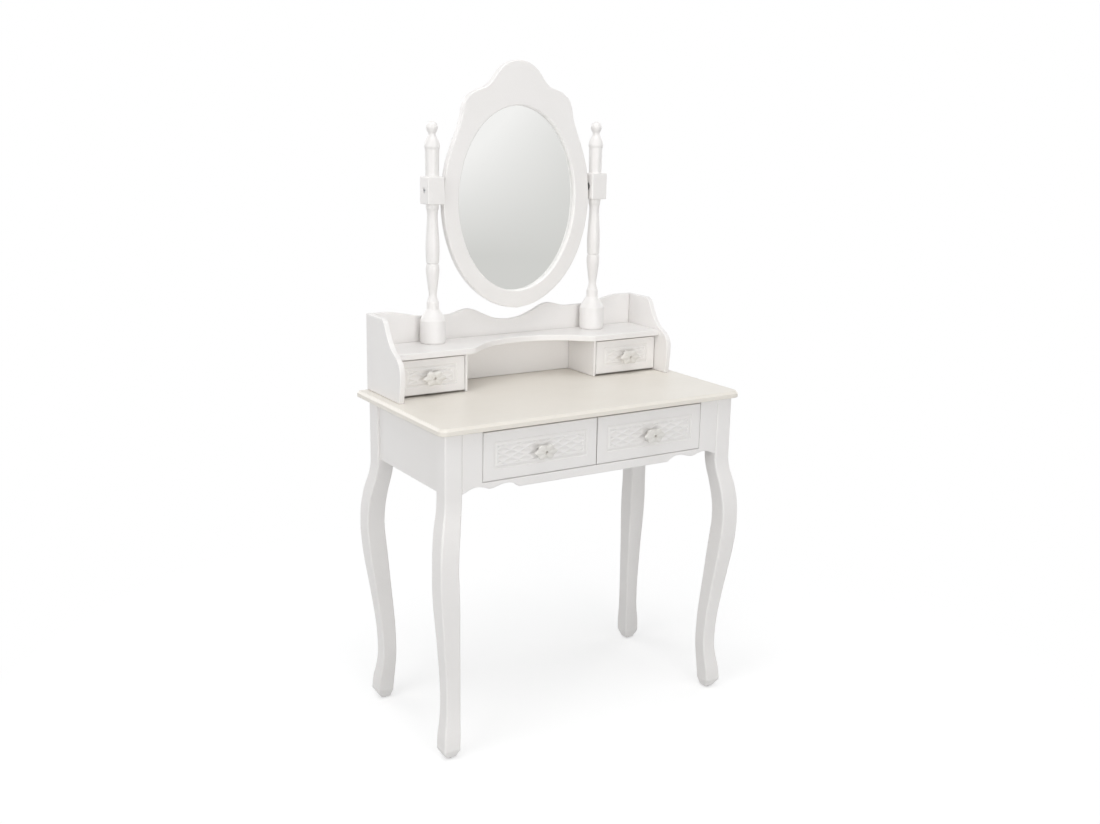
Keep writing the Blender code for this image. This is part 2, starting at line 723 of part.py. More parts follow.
def lattice_pockets(field_x, field_y):
    """The diamonds between the ribs of a lattice, cut off at the edges of its field."""
    diamond_side = math.hypot(LATTICE_HALF_LENGTH, LATTICE_HALF_HEIGHT)
    side_distance = LATTICE_HALF_LENGTH * LATTICE_HALF_HEIGHT / diamond_side
    shrink = 1 - LATTICE_RIB / 2 / side_distance
    reach_x = LATTICE_HALF_LENGTH * shrink
    reach_y = LATTICE_HALF_HEIGHT * shrink
    whole = 2 * reach_x * reach_y
    columns = math.ceil(field_x / LATTICE_HALF_LENGTH)
    rows = math.ceil(field_y / LATTICE_HALF_HEIGHT)
    pockets = []
    for column in range(-columns, columns + 1):
        for row in range(-rows, rows + 1):
            if (column + row) % 2:
                continue
            x = column * LATTICE_HALF_LENGTH
            y = row * LATTICE_HALF_HEIGHT
            pocket = [(x - reach_x, y), (x, y - reach_y), (x + reach_x, y), (x, y + reach_y)]
            for axis, limit in ((0, field_x), (1, field_y)):
                pocket = clipped(pocket, axis, limit, 1)
                pocket = clipped(pocket, axis, -limit, -1)
            if len(pocket) > 2 and outline_area(pocket) > SMALLEST_POCKET_SHARE * whole:
                pockets.append(pocket)
    return pockets


def lattice_tool(name, half_x, half_z, parent):
    """What a router takes from a drawer front: a border groove, and the lattice's pockets."""
    inner_x = half_x - PANEL_GROOVE
    inner_z = half_z - PANEL_GROOVE
    pockets = lattice_pockets(half_x - PANEL_BORDER, half_z - PANEL_BORDER)
    outlines = [rectangle(half_x, half_z), rectangle(inner_x, inner_z)] + pockets
    mesh = facing_front(outline_mesh(name, LATTICE_DEPTH + CUT_OVERRUN, outlines))
    return add_tool(name, mesh, (0, (LATTICE_DEPTH - CUT_OVERRUN) / 2, 0), parent)


def pull_outline():
    """A flattened rosette with rounded lobes."""
    points = []
    for i in range(PULL_POINTS):
        angle = 2 * math.pi * i / PULL_POINTS
        lobe = 1 - PULL_NOTCH_SHARE * (1 - math.cos(PULL_LOBES * angle)) / 2
        points.append((PULL_LENGTH / 2 * lobe * math.cos(angle), PULL_HEIGHT / 2 * lobe * math.sin(angle)))
    return points


def make_pull(name, parent, front_thickness):
    """A cast pull: a lobed head with a dimple, on a turned neck, and the screw that holds it from behind."""
    head = facing_front(outline_mesh(name + "_pull", PULL_HEAD, [pull_outline()]))
    pull = add_piece(name + "_pull", head, PULL_ENAMEL, (0, PULL_HEAD / 2 - pull_reach, 0), parent)
    round_edges(pull, PULL_HEAD / 3, segments=1)
    profile = [(NECK_RADIUS * radius, PULL_REACH * reach) for reach, radius in NECK_SHARES] + [(0, 0)]
    neck = facing_front(turned_mesh(name + "_neck", profile))
    join(pull, add_tool(name + "_neck", neck, (0, -SEAT_GAP, 0), parent))
    dimple = rod_mesh(name + "_dimple", DIMPLE_RADIUS, DIMPLE_DEPTH + CUT_OVERRUN, "Y", NUT_SIDES)
    cut(pull, add_tool(name + "_dimple", dimple, (0, -pull_reach - CUT_OVERRUN, 0), parent))
    bore_radius = SCREW_RADIUS + SEAT_GAP
    bore = rod_mesh(name + "_pull_bore", bore_radius, SCREW_BITE + SEAT_GAP + CUT_OVERRUN, "Y", NUT_SIDES)
    cut(pull, add_tool(name + "_pull_bore", bore, (0, -SEAT_GAP - SCREW_BITE - SEAT_GAP, 0), parent))
    head_z = -front_thickness - SEAT_GAP
    tip_z = SEAT_GAP + SCREW_BITE
    profile = [
        (0, tip_z), (SCREW_RADIUS, tip_z), (SCREW_RADIUS, head_z), (SCREW_HEAD_RADIUS, head_z),
        (SCREW_HEAD_RADIUS, head_z - SCREW_HEAD_HEIGHT), (0, head_z - SCREW_HEAD_HEIGHT),
    ]
    screw = facing_front(turned_mesh(name + "_screw", profile, NUT_SIDES))
    add_piece(name + "_screw", screw, ZINC_STEEL, parent=parent)


def make_drawer(name, face_middle, sizes):
    """A drawer whose empty is the middle of its front's face. It slides along Y."""
    slide = empty_at(name + "_slide", face_middle, stand)
    half_x = sizes["front_width"] / 2
    half_z = sizes["front_height"] / 2
    thick = sizes["front_thickness"]
    wall = sizes["board"]
    left = sizes["box_left"]
    right = sizes["box_right"]
    low = sizes["box_low"]
    high = low + sizes["box_height"]
    back = sizes["box_back"]
    floor_low = low + GROOVE_UP
    floor_high = floor_low + sizes["bottom"]

    front = board(
        name + "_front", (-half_x, 0, -half_z), (half_x, thick, half_z), WHITE_PAINT,
        slide, FRONT_EDGE_ROUND,
    )
    panel_x = half_x - sizes["panel_side_margin"]
    panel_z = half_z - sizes["panel_margin"]
    cut(front, lattice_tool(name + "_lattice", panel_x, panel_z, slide))
    pull_place = empty_at(name + "_pull_place", (0, 0, -PULL_DROP), slide)
    hole = rod_mesh(name + "_hole", SCREW_RADIUS + SEAT_GAP, thick + 2 * CUT_OVERRUN, "Y", NUT_SIDES)
    cut(front, add_tool(name + "_hole", hole, (0, -CUT_OVERRUN, 0), pull_place))

    box_front = thick + SEAT_GAP
    outline = [
        (left, box_front), (left + wall, box_front), (left + wall, back - wall),
        (right - wall, back - wall), (right - wall, box_front), (right, box_front),
        (right, back), (left, back),
    ]
    folded = outline_mesh(name + "_wrap", high - low, [outline])
    wrap = add_piece(name + "_wrap", folded, DRAWER_BOARD, (0, 0, (low + high) / 2), slide)
    round_edges(wrap, BOX_EDGE_ROUND, segments=1)

    groove = box_tool(
        name + "_groove", (left + wall - GROOVE_DEPTH, thick - GROOVE_DEPTH, floor_low - SEAT_GAP),
        (right - wall + GROOVE_DEPTH, back - wall + GROOVE_DEPTH, floor_high + SEAT_GAP), slide,
    )
    cut(front, groove)
    cut(wrap, groove)
    tongue = GROOVE_DEPTH - SEAT_GAP
    board(
        name + "_bottom", (left + wall - tongue, thick - tongue, floor_low),
        (right - wall + tongue, back - wall + tongue, floor_high), DRAWER_BOARD, slide,
    )
    make_pull(name, pull_place, thick)


def make_large_drawers():
    middle_x = opening_half_width / 2
    front_low = opening_bottom + LARGE_REVEAL_UNDER
    front_high = top_under - LARGE_REVEAL_ABOVE
    middle_z = (front_low + front_high) / 2
    near = PARTITION_THICKNESS / 2 + LARGE_RUN_CLEARANCE - middle_x
    far = guide_inner_x - LARGE_RUN_CLEARANCE - middle_x
    for side, sign in SIDES:
        box_faces = sorted((sign * near, sign * far))
        make_drawer("large_" + side, (sign * middle_x, frame_front_y, middle_z), {
            "front_width": opening_half_width - 2 * DRAWER_REVEAL,
            "front_height": front_high - front_low,
            "front_thickness": FRONT_THICKNESS,
            "panel_side_margin": LARGE_PANEL_SIDE_MARGIN,
            "panel_margin": LARGE_PANEL_MARGIN,
            "board": LARGE_BOARD,
            "bottom": LARGE_BOTTOM,
            "box_left": box_faces[0],
            "box_right": box_faces[1],
            "box_low": opening_bottom + SEAT_GAP - middle_z,
            "box_height": LARGE_BOX_HEIGHT,
            "box_back": back_apron_inner_y - LARGE_BACK_CLEARANCE - frame_front_y,
        })


def make_small_drawers():
    middle_x = hutch_inner_x - SMALL_BAY_WIDTH / 2
    front_low = DESK_HEIGHT + SMALL_REVEAL_UNDER
    front_high = shelf_bottom - SMALL_REVEAL_ABOVE
    middle_z = (front_low + front_high) / 2
    reach = SMALL_BAY_WIDTH / 2 - SMALL_RUN_CLEARANCE
    for side, sign in SIDES:
        make_drawer("small_" + side, (sign * middle_x, divider_front_y, middle_z), {
            "front_width": SMALL_BAY_WIDTH - 2 * DRAWER_REVEAL,
            "front_height": front_high - front_low,
            "front_thickness": SMALL_FRONT_THICKNESS,
            "panel_side_margin": SMALL_PANEL_SIDE_MARGIN,
            "panel_margin": SMALL_PANEL_MARGIN,
            "board": SMALL_BOARD,
            "bottom": SMALL_BOTTOM,
            "box_left": -reach,
            "box_right": reach,
            "box_low": DESK_HEIGHT + SEAT_GAP - middle_z,
            "box_height": SMALL_BOX_HEIGHT,
            "box_back": hutch_back_y - SMALL_BACK_CLEARANCE - divider_front_y,
        })


def make_hutch():
    """Two shaped sides, a wavy back, a bowed shelf and the dividers of the open bay."""
    floor = DESK_HEIGHT + SEAT_GAP
    rise = hutch_top - floor
    curve = [
        (half_depth - depth * HUTCH_DEPTH, floor + height * rise)
        for depth, height in smooth_through(SIDE_SHARES, SIDE_POINTS)
    ]
    outline = curve + [(half_depth, hutch_top), (half_depth, floor)]
    for side, sign in SIDES:
        name = "hutch_side_" + side
        mesh = facing_side(outline_mesh(name, HUTCH_BOARD, [outline]))
        panel = add_piece(name, mesh, WHITE_PAINT, (sign * (hutch_half_width - HUTCH_BOARD / 2), 0, 0))
        round_edges(panel, BOARD_EDGE_ROUND, segments=1)
        faces = sorted((sign * bay_half_width, sign * divider_outer_x))
        board(
            "hutch_divider_" + side, (faces[0], divider_front_y, floor),
            (faces[1], hutch_back_y - SEAT_GAP, shelf_bottom - SEAT_GAP), WHITE_PAINT,
        )
    reach = hutch_inner_x - SEAT_GAP
    crest = [
        (share * reach, floor + height * rise)
        for share, height in smooth_through(CREST_SHARES, CREST_POINTS)
    ]
    outline = both_halves([(0, floor), (reach, floor)] + crest)
    mesh = facing_front(outline_mesh("hutch_back", HUTCH_BOARD, [outline]))
    round_edges(
        add_piece("hutch_back", mesh, WHITE_PAINT, (0, (half_depth + hutch_back_y) / 2, 0)),
        BOARD_EDGE_ROUND, segments=1,
    )
    shelf_back_y = hutch_back_y - SEAT_GAP
    bow = [
        (share * bow_half_width, shelf_front_y + depth * BOW_DEPTH)
        for share, depth in smooth_through(BOW_SHARES, BOW_POINTS)
    ]
    outline = both_halves([(0, shelf_back_y), (reach, shelf_back_y), (reach, shelf_front_y)] + bow)
    mesh = outline_mesh("hutch_shelf", SHELF_THICKNESS, [outline])
    round_edges(
        add_piece("hutch_shelf", mesh, WHITE_PAINT, (0, 0, (shelf_bottom + shelf_top) / 2)),
        BOARD_EDGE_ROUND, segments=1,
    )


def make_posts():
    """Two turned posts, each with a square block that the mirror's pivot bolt goes through."""
    profile = [(POST_BASE_RADIUS * radius, POST_HEIGHT * height) for height, radius in POST_SHARES] + [(0, 0)]
    half_side = BLOCK_SIDE / 2
    for side, sign in SIDES:
        name = "mirror_post_" + side
        foot = (sign * post_x, post_y, shelf_top + SEAT_GAP)
        post = add_piece(name, turned_mesh(name, profile, POST_STEPS), WHITE_PAINT, foot)
        pivot = (foot[0], post_y, pivot_z)
        block_mesh = box_mesh(name + "_block", (BLOCK_SIDE, BLOCK_SIDE, BLOCK_HEIGHT))
        block = add_tool(name + "_block", block_mesh, pivot)
        round_edges(block, BLOCK_EDGE_ROUND, segments=1)
        join(post, block)
        bore_start = -half_side - CUT_OVERRUN
        bore = rod_mesh(name + "_bore", PIVOT_BOLT_RADIUS + PIVOT_RUN_GAP, -2 * bore_start, "X")
        bore.transform(Matrix.Translation((bore_start, 0, 0)))
        cut(post, add_tool(name + "_bore", bore, pivot))
        sink = rod_mesh(name + "_sink", PIVOT_HEAD_RADIUS + PIVOT_RUN_GAP, PIVOT_SINK + CUT_OVERRUN, "X")
        sink.transform(Matrix.Translation((half_side - PIVOT_SINK, 0, 0)))
        sink.transform(Matrix.Rotation(math.pi if sign < 0 else 0, 4, "Z"))
        cut(post, add_tool(name + "_sink", sink, pivot))


def mirror_outline():
    """The crested outline of the frame, from the pivot's height."""
    low = mirror_bottom - pivot_z
    half = [
        (share * mirror_half_width, low + height * mirror_height)
        for share, height in smooth_through(MIRROR_SHARES, MIRROR_POINTS)
    ]
    return both_halves(half)


def frame_edge_at(outline, reach):
    """How far the outline stands out, at most, within a reach above and below the pivot."""
    crossings = []
    for (x1, z1), (x2, z2) in zip(outline, outline[1:]):
        for z in (-reach, 0, reach):
            if x1 > 0 and (z1 - z) * (z2 - z) <= 0 and z1 != z2:
                crossings.append(x1 + (x2 - x1) * (z - z1) / (z2 - z1))
        if x1 > 0 and abs(z1) < reach:
            crossings.append(x1)
    return max(crossings)


def oval(width, height, middle_z):
    angles = [2 * math.pi * i / OVAL_POINTS for i in range(OVAL_POINTS)]
    return [(width / 2 * math.cos(a), middle_z + height / 2 * math.sin(a)) for a in angles]


def make_mirror():
    """The frame, the glass and its backing, and what they turn on. Their empty is on the pivot axis."""
    pivot = empty_at("mirror_pivot", (0, post_y, pivot_z), stand)
    outline = mirror_outline()
    sight_z = mirror_bottom + SIGHT_ABOVE_BOTTOM + SIGHT_HEIGHT / 2 - pivot_z
    half_board = MIRROR_BOARD / 2
    mesh = outline_mesh("mirror_frame", MIRROR_BOARD, [outline, oval(sight_width, SIGHT_HEIGHT, sight_z)])
    frame = add_piece("mirror_frame", facing_front(mesh), WHITE_PAINT, parent=pivot)
    round_edges(frame, MIRROR_EDGE_ROUND)

    rebate_width = sight_width + 2 * REBATE_WIDTH
    rebate_height = SIGHT_HEIGHT + 2 * REBATE_WIDTH
    rebate_depth = MIRROR_BOARD - LIP_THICKNESS
    rebate = outline_mesh("rebate", rebate_depth + CUT_OVERRUN, [oval(rebate_width, rebate_height, sight_z)])
    rebate_y = half_board - (rebate_depth - CUT_OVERRUN) / 2
    cut(frame, add_tool("rebate", facing_front(rebate), (0, rebate_y, 0), pivot))

    glass_outline = oval(rebate_width - 2 * SEAT_GAP, rebate_height - 2 * SEAT_GAP, sight_z)
    glass_front = LIP_THICKNESS - half_board + SEAT_GAP
    glass = facing_front(outline_mesh("mirror_glass", GLASS_THICKNESS, [glass_outline]))
    add_piece("mirror_glass", glass, SILVERED_GLASS, (0, glass_front + GLASS_THICKNESS / 2, 0), pivot)
    backing_front = glass_front + GLASS_THICKNESS + SEAT_GAP
    backing_thickness = half_board - backing_front
    backing = facing_front(outline_mesh("mirror_backing", backing_thickness, [glass_outline]))
    backing_y = backing_front + backing_thickness / 2
    add_piece("mirror_backing", backing, HARDBOARD, (0, backing_y, 0), pivot)
    make_pivots(pivot, frame, frame_edge_at(outline, SPACER_RADIUS))


def make_pivots(pivot, frame, frame_edge):
    """The two pivot bolts, and the spacers between the frame and the posts."""
    head_start = post_x + BLOCK_SIDE / 2 - PIVOT_SINK + SEAT_GAP
    head_end = head_start + PIVOT_HEAD_HEIGHT
    tip = frame_edge - PIVOT_BITE
    profile = [
        (0, head_end), (PIVOT_HEAD_RADIUS, head_end), (PIVOT_HEAD_RADIUS, head_start),
        (PIVOT_BOLT_RADIUS, head_start), (PIVOT_BOLT_RADIUS, tip), (0, tip),
    ]
    spacer_end = post_x - BLOCK_SIDE / 2 - SEAT_GAP
    spacer_start = frame_edge + SEAT_GAP
    hole = PIVOT_BOLT_RADIUS + SEAT_GAP
    ring = [
        (SPACER_RADIUS, spacer_end), (SPACER_RADIUS, spacer_start),
        (hole, spacer_start), (hole, spacer_end),
    ]
    for side, sign in SIDES:
        along = Matrix.Rotation(sign * math.pi / 2, 4, "Y")
        bolt = add_piece("pivot_bolt_" + side, turned_mesh("bolt", profile), ZINC_STEEL, parent=pivot)
        spacer_mesh = turned_mesh("spacer", ring, ring=True)
        spacer = add_piece("pivot_spacer_" + side, spacer_mesh, DARK_PLASTIC, parent=pivot)
        bore = rod_mesh("pivot_bore", hole, PIVOT_BITE + SEAT_GAP + CUT_OVERRUN)
        tool = add_tool("pivot_bore_" + side, bore, parent=pivot)
        bolt.matrix_basis = along
        spacer.matrix_basis = along
        tool.matrix_basis = along @ Matrix.Translation((0, 0, tip - SEAT_GAP))
        cut(frame, tool)


make_desktop()
make_legs()
make_frame()
make_large_drawers()
make_hutch()
make_small_drawers()
make_posts()
make_mirror()
bpy.context.view_layer.update()
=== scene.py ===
"""The looks of the dressing table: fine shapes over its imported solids, finishes, studio and camera.

Metres, +Z up. Each piece stands for a node of the frame and takes its place and size from it.
"""
import json
import math

import bmesh
import bpy
from mathutils import Matrix, Vector


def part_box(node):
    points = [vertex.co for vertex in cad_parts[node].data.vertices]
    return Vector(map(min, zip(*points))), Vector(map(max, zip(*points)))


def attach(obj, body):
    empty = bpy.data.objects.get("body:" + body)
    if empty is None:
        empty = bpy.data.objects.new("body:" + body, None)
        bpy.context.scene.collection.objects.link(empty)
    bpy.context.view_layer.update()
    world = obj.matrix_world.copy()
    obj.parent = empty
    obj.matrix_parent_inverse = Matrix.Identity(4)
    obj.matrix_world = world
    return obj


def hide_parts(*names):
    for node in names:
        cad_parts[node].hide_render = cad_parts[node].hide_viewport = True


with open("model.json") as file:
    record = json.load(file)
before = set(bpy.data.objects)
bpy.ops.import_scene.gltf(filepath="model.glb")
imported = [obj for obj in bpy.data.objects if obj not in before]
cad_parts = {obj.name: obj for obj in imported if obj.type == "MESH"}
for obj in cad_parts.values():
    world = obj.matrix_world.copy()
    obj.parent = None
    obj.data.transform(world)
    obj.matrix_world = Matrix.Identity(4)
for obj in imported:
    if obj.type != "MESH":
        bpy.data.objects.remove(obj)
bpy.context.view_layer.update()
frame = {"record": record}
record = frame["record"]
body_of_node = {node: body for body, nodes in record["behaviour"]["bodies"].items() for node in nodes}
slot_of_node = {entry["node"]: entry["material_slot"] for entry in record["subparts"]}
SIDES = {"left": -1, "right": 1}
CORNERS = ("back_right", "back_left", "front_left", "front_right")

# Camera, as fitted to the photograph
PHOTO_WIDTH = 1100
PHOTO_HEIGHT = 824
CAMERA_PLACE = (-1.4662, -2.3136, 1.3402)
CAMERA_YAW = 0.5429
CAMERA_PITCH = 0.2459
CAMERA_ROLL = 0.0132
CAMERA_FOCUS_PIXELS = 1268.14
CAMERA_CENTRE_PIXEL = (524.25, 419.92)
SENSOR_WIDTH = 0.036

# Studio: each lamp has a name, a place, a size and a power
WHITE = (1.0, 1.0, 1.0, 1.0)
WORLD_COLOUR = (0.98, 0.99, 1.0, 1.0)
WORLD_STRENGTH = 0.40
LAMPS = (
    ("front", (-0.5, -4.9, 0.95), 2.4, 72),
    ("key", (1.6, -2.6, 2.7), 2.4, 5),
    ("side", (-3.0, -0.9, 1.7), 2.4, 29),
    ("top", (-0.3, -0.6, 3.6), 2.6, 37),
    ("behind", (-1.4, 2.8, 2.0), 2.4, 20),
    ("right", (3.2, 0.9, 1.6), 2.4, 14),
)
LAMP_AIM = (0, 0, 0.75)
FLOOR_SIZE = 12
FLOOR_COLOUR = (0.62, 0.62, 0.62, 1.0)
FLOOR_SHADOW_REACH = 0.55
FLOOR_FADE = 0.75
FLOOR_LIFT = 0.50
CARD_RADIUS = 4.2
CARD_LOW = 0.001
CARD_HIGH = 3.4
CARD_START = 190
CARD_TURN = 160
CARD_PANELS = 40
CARD_RISE = 1.2
CARD_RISE_FROM = 0.585
CARD_CONTRAST = 5.42
CARD_CONTRAST_LOSS = 2.0

# Desktop moulding
TOP_CORNER_RADIUS = 0.018
TOP_STEP_INSET = 0.0042
TOP_STEP_HEIGHT = 0.0042
TOP_NOSE_ROUND = 0.0022
TOP_EDGE_ROUND = 0.0016

# Legs
LEG_SHOULDER_DROP = 0.0115
LEG_CORNER_ROUND = 0.0042
SLIM_LEG_ROUND_SHARE = 0.15
LEG_BLOCK = 0.040
LEG_READINGS = 76
GLIDE_ROUND_SHARE = 0.45
GLIDE_PIT_SHARE = 0.3
GLIDE_PIT_FLOOR_SHARE = 0.22
GLIDE_PIT_DEPTH_SHARE = 0.2

# Edges of the boards
BOARD_ROUND = 0.0014
FRAME_ROUND = 0.0030
SOFT_ROUND = 0.0018
GUIDE_ROUND = 0.0006
WRAP_ROUND = 0.0009
WRAP_FOLD = 0.0008
BOTTOM_ROUND = 0.0004
SLOT_ROUND = 0.00005
GLASS_ROUND = 0.0005
WELD = 0.00002

# Front frame and hutch
SCALLOP_LENGTH = 0.1322
SCALLOP_DEPTH = 0.0115
RAIL_HEIGHT = 0.0193
STILE_WIDTH = 0.0467
PARTITION_HALF = 0.0075
GUIDE_THICKNESS = 0.012
BOW_END_INSET = 0.0015
BOW_DEPTH = 0.071
SCALLOP_READINGS = 64
SIDE_READINGS = 72
CREST_READINGS = 80
BOW_READINGS = 60

# Drawer fronts. A gap is how much lower than its solid a front's top edge lies, for the dark
# line above it. A step of the groove or of a pocket is an inset and a share of the depth. The
# insets of a pocket are shares of its room.
FRONT_TOP_GAPS = {"large": 0.0026, "small": 0.0024}
FRONT_CORNER_ROUND = 0.0008
PANEL_SIDE_MARGINS = {"large": 0.024, "small": 0.020}
PANEL_MARGINS = {"large": 0.0239, "small": 0.0174}
PANEL_BORDER = 0.0093
PANEL_GROOVE = 0.0065
LATTICE_HALF_LENGTH = 0.01825
LATTICE_HALF_HEIGHT = 0.0077
LATTICE_RIB = 0.0022
LATTICE_DEPTH = 0.0017
SMALLEST_POCKET_SHARE = 0.08
ABOVE_FACE = ((-0.0003, -0.001), (-0.0003, -0.00002))
POCKET_EASE = 0.0002
POCKET_STEPS = ((0.22, 0.5), (0.55, 0.85), (0.8, 1))
# Each side of the groove: how far in it starts, which way it leans, its corners' round, how deep
# its edge is eased, and its steps.
GROOVE_SIDES = (
    (0, -1, 0.003, 0.0003, ((0.0005, 0.7), (0.0012, 0.95))),
    (PANEL_GROOVE, 1, 0.0015, 0.0002, ((0.0014, 0.6), (0.0032, 0.95))),
)
SHARPEST_LEAN = 0.2
# How dark the painted shade in a front's groove and pockets gets, and the depth, as a share of the
# lattice's, past which none is painted.
GROOVE_AND_POCKET_SHADE = 0.4
DEEPEST_HOLLOW = 1.2

# Drawer boxes
BOARDS = {"large": 0.010, "small": 0.008}

# Pulls
PULL_LENGTH = 0.055
PULL_HEIGHT = 0.034
PULL_NOTCH_SHARE = 0.20
PULL_LOBES = 6
PULL_HEAD = 0.005
PULL_READINGS = 96
PULL_STEPS = 144
DIMPLE_RADIUS = 0.0027
# Painted shade on the pull, with some antique patina: in its dimple, round the dimple, between its lobes
# and on the neck behind its head.
DIMPLE_SHADE = 1.0
RIM_SHADE = 0.15
LOBE_SHADE = 0.08
NECK_SHADE = 0.1

# Mirror
SIGHT_WIDTH = 0.300
SIGHT_HEIGHT = 0.4085
SIGHT_ABOVE_BOTTOM = 0.040
LIP_THICKNESS = 0.010
REBATE_WIDTH = 0.007
CLIP_COUNT = 8
CLIP_LENGTH = 0.026
CLIP_WIDTH = 0.009
CLIP_STEEL = 0.0011
CLIP_ROUND = 0.0003
CLIP_OUTSIDE = 0.004
CLIP_HEAD_RADIUS = 0.0030
CLIP_HEAD_HEIGHT = 0.0018
CLIP_HEAD_SINK = 0.0002
REBATE_TOOL = 0.02
REBATE_ROUND = 0.0002
MIRROR_READINGS = 116

# Steel fittings
BRACKET_STEEL = 0.002
BRACKET_REACH = 0.049
BRACKET_FLANGE = 0.014
BRACKET_BEND = 0.003
BRACKET_ROUND = 0.0004
BRACKET_HOLE_REACH = 0.01
BOLT_RADIUS = 0.003
BOLT_PITCH = 0.0009
BOLT_CREST = 0.00045
BOLT_THREAD_START = 0.0004
BOLT_THREAD_ROOM = 0.001
BOLT_ROOT_SHARE = 0.86
BOLT_END_SHARE = 0.8
NUT_RADIUS = 0.006
NUT_HEIGHT = 0.005
NUT_PLACE = 0.004
NUT_ROUND = 0.0004
NUT_BORE_SHARE = 0.84
BORE_GAP = 0.0003
SCREW_RADIUS = 0.002
SCREW_HEAD_HEIGHT = 0.0022
SCREW_HEAD_ROUND = 0.0012
SCREW_PITCH = 0.0007
SCREW_THREAD_ROOM = 0.0004
SCREW_ROOT = 0.00002
SCREW_CREST = 0.00036
SCREW_ROOT_SHARE = 0.84
SCREW_END_SHARE = 0.7
CROSS_REACH = 0.0023
CROSS_HALF_WIDTH = 0.0005
CROSS_DEPTH = 0.0012
CROSS_ABOVE = 0.001
CROSS_ROUND = 0.0001

# Mirror's pivots
BLOCK_SIDE = 0.040
BLOCK_HEIGHT = 0.059
BLOCK_ROUND = 0.0022
POST_CURVE_STEPS = 7
PIVOT_ABOVE_SHELF = 0.3335
PIVOT_HEAD_HEIGHT = 0.004
PIVOT_HEAD_ROUND = 0.0008
PIVOT_TIP = 0.001
PIVOT_TIP_SHARE = 0.7
PIVOT_SINK = 0.0065
PIVOT_GAP = 0.0006
SINK_CHAMFER = 0.0009
SINK_RIM = 0.0001
BORE_PAST = 0.002
SOCKET_RADIUS = 0.0026
SOCKET_DEPTH = 0.0024
SOCKET_ABOVE = 0.001
SPACER_ROUND = 0.0009

# Outlines, as shares of the sizes that they follow
LEG_SHARES = (
    (1.000, 1.00, -1.00), (0.955, 1.15, -0.86), (0.885, 1.62, -0.51), (0.814, 1.89, -0.25),
    (0.743, 1.955, -0.18), (0.673, 1.89, -0.30), (0.602, 1.715, -0.45), (0.531, 1.465, -0.58),
    (0.460, 1.21, -0.715), (0.389, 0.98, -0.855), (0.319, 0.78, -0.97), (0.248, 0.67, -1.025),
    (0.195, 0.67, -1.025), (0.142, 0.815, -0.945), (0.088, 1.09, -0.83), (0.035, 1.20, -0.725),
)
LEG_FOOT_SHARES = (0.68, -0.46)
SCALLOP_SHARES = (
    (0.00, 0.00), (0.05, 0.45), (0.13, 0.90), (0.22, 1.00), (0.30, 0.92), (0.40, 0.60), (0.47, 0.43),
    (0.53, 0.43), (0.62, 0.75), (0.70, 0.97), (0.77, 1.00), (0.85, 0.80), (0.93, 0.40), (1.00, 0.12),
)
SIDE_SHARES = (
    (0.964, 0.00), (0.985, 0.12), (1.00, 0.30), (0.994, 0.42), (0.965, 0.49), (0.905, 0.55),
    (0.82, 0.60), (0.74, 0.655), (0.67, 0.73), (0.61, 0.82), (0.57, 0.90), (0.525, 0.965), (0.46, 1.00),
)
CREST_SHARES = (
    (1.00, 1.00), (0.88, 1.00), (0.76, 0.955), (0.65, 0.915), (0.54, 0.905), (0.44, 0.908),
    (0.37, 0.945), (0.315, 0.962), (0.26, 0.94), (0.18, 0.865), (0.09, 0.800), (0.00, 0.782),
)
BOW_SHARES = (
    (1.00, 0.00), (0.94, 0.03), (0.88, 0.12), (0.82, 0.25), (0.73, 0.43), (0.64, 0.59),
    (0.50, 0.77), (0.34, 0.90), (0.17, 0.975), (0.00, 1.00),
)
MIRROR_SHARES = (
    (0.00, 1.000), (0.108, 0.994), (0.215, 0.975), (0.296, 0.947), (0.36, 0.918), (0.43, 0.897),
    (0.53, 0.884), (0.615, 0.872), (0.69, 0.850), (0.735, 0.819), (0.757, 0.782), (0.785, 0.748),
    (0.825, 0.712), (0.88, 0.665), (0.94, 0.605), (0.98, 0.540), (1.00, 0.455), (0.985, 0.375),
    (0.935, 0.293), (0.835, 0.204), (0.69, 0.127), (0.485, 0.061), (0.245, 0.016), (0.00, 0.000),
)
POST_SHARES = (
    (1.000, 0.00), (0.996, 0.20), (0.988, 0.36), (0.973, 0.448), (0.957, 0.38), (0.947, 0.29),
    (0.936, 0.30), (0.921, 0.45), (0.905, 0.55), (0.889, 0.593), (0.876, 0.545), (0.765, 0.515),
    (0.637, 0.490), (0.616, 0.485), (0.604, 0.43), (0.573, 0.405), (0.506, 0.475), (0.4405, 0.535),
    (0.371, 0.50), (0.366, 0.44), (0.361, 0.50), (0.329, 0.517), (0.265, 0.39), (0.225, 0.315),
    (0.200, 0.40), (0.190, 0.475), (0.160, 0.475), (0.128, 0.80), (0.105, 1.00), (0.007, 1.00),
    (0.004, 0.955), (0.000, 0.950),
)
CRISP_HEIGHTS = (0.876, 0.637, 0.604, 0.371, 0.361, 0.190, 0.160, 0.105, 0.007, 0.004)
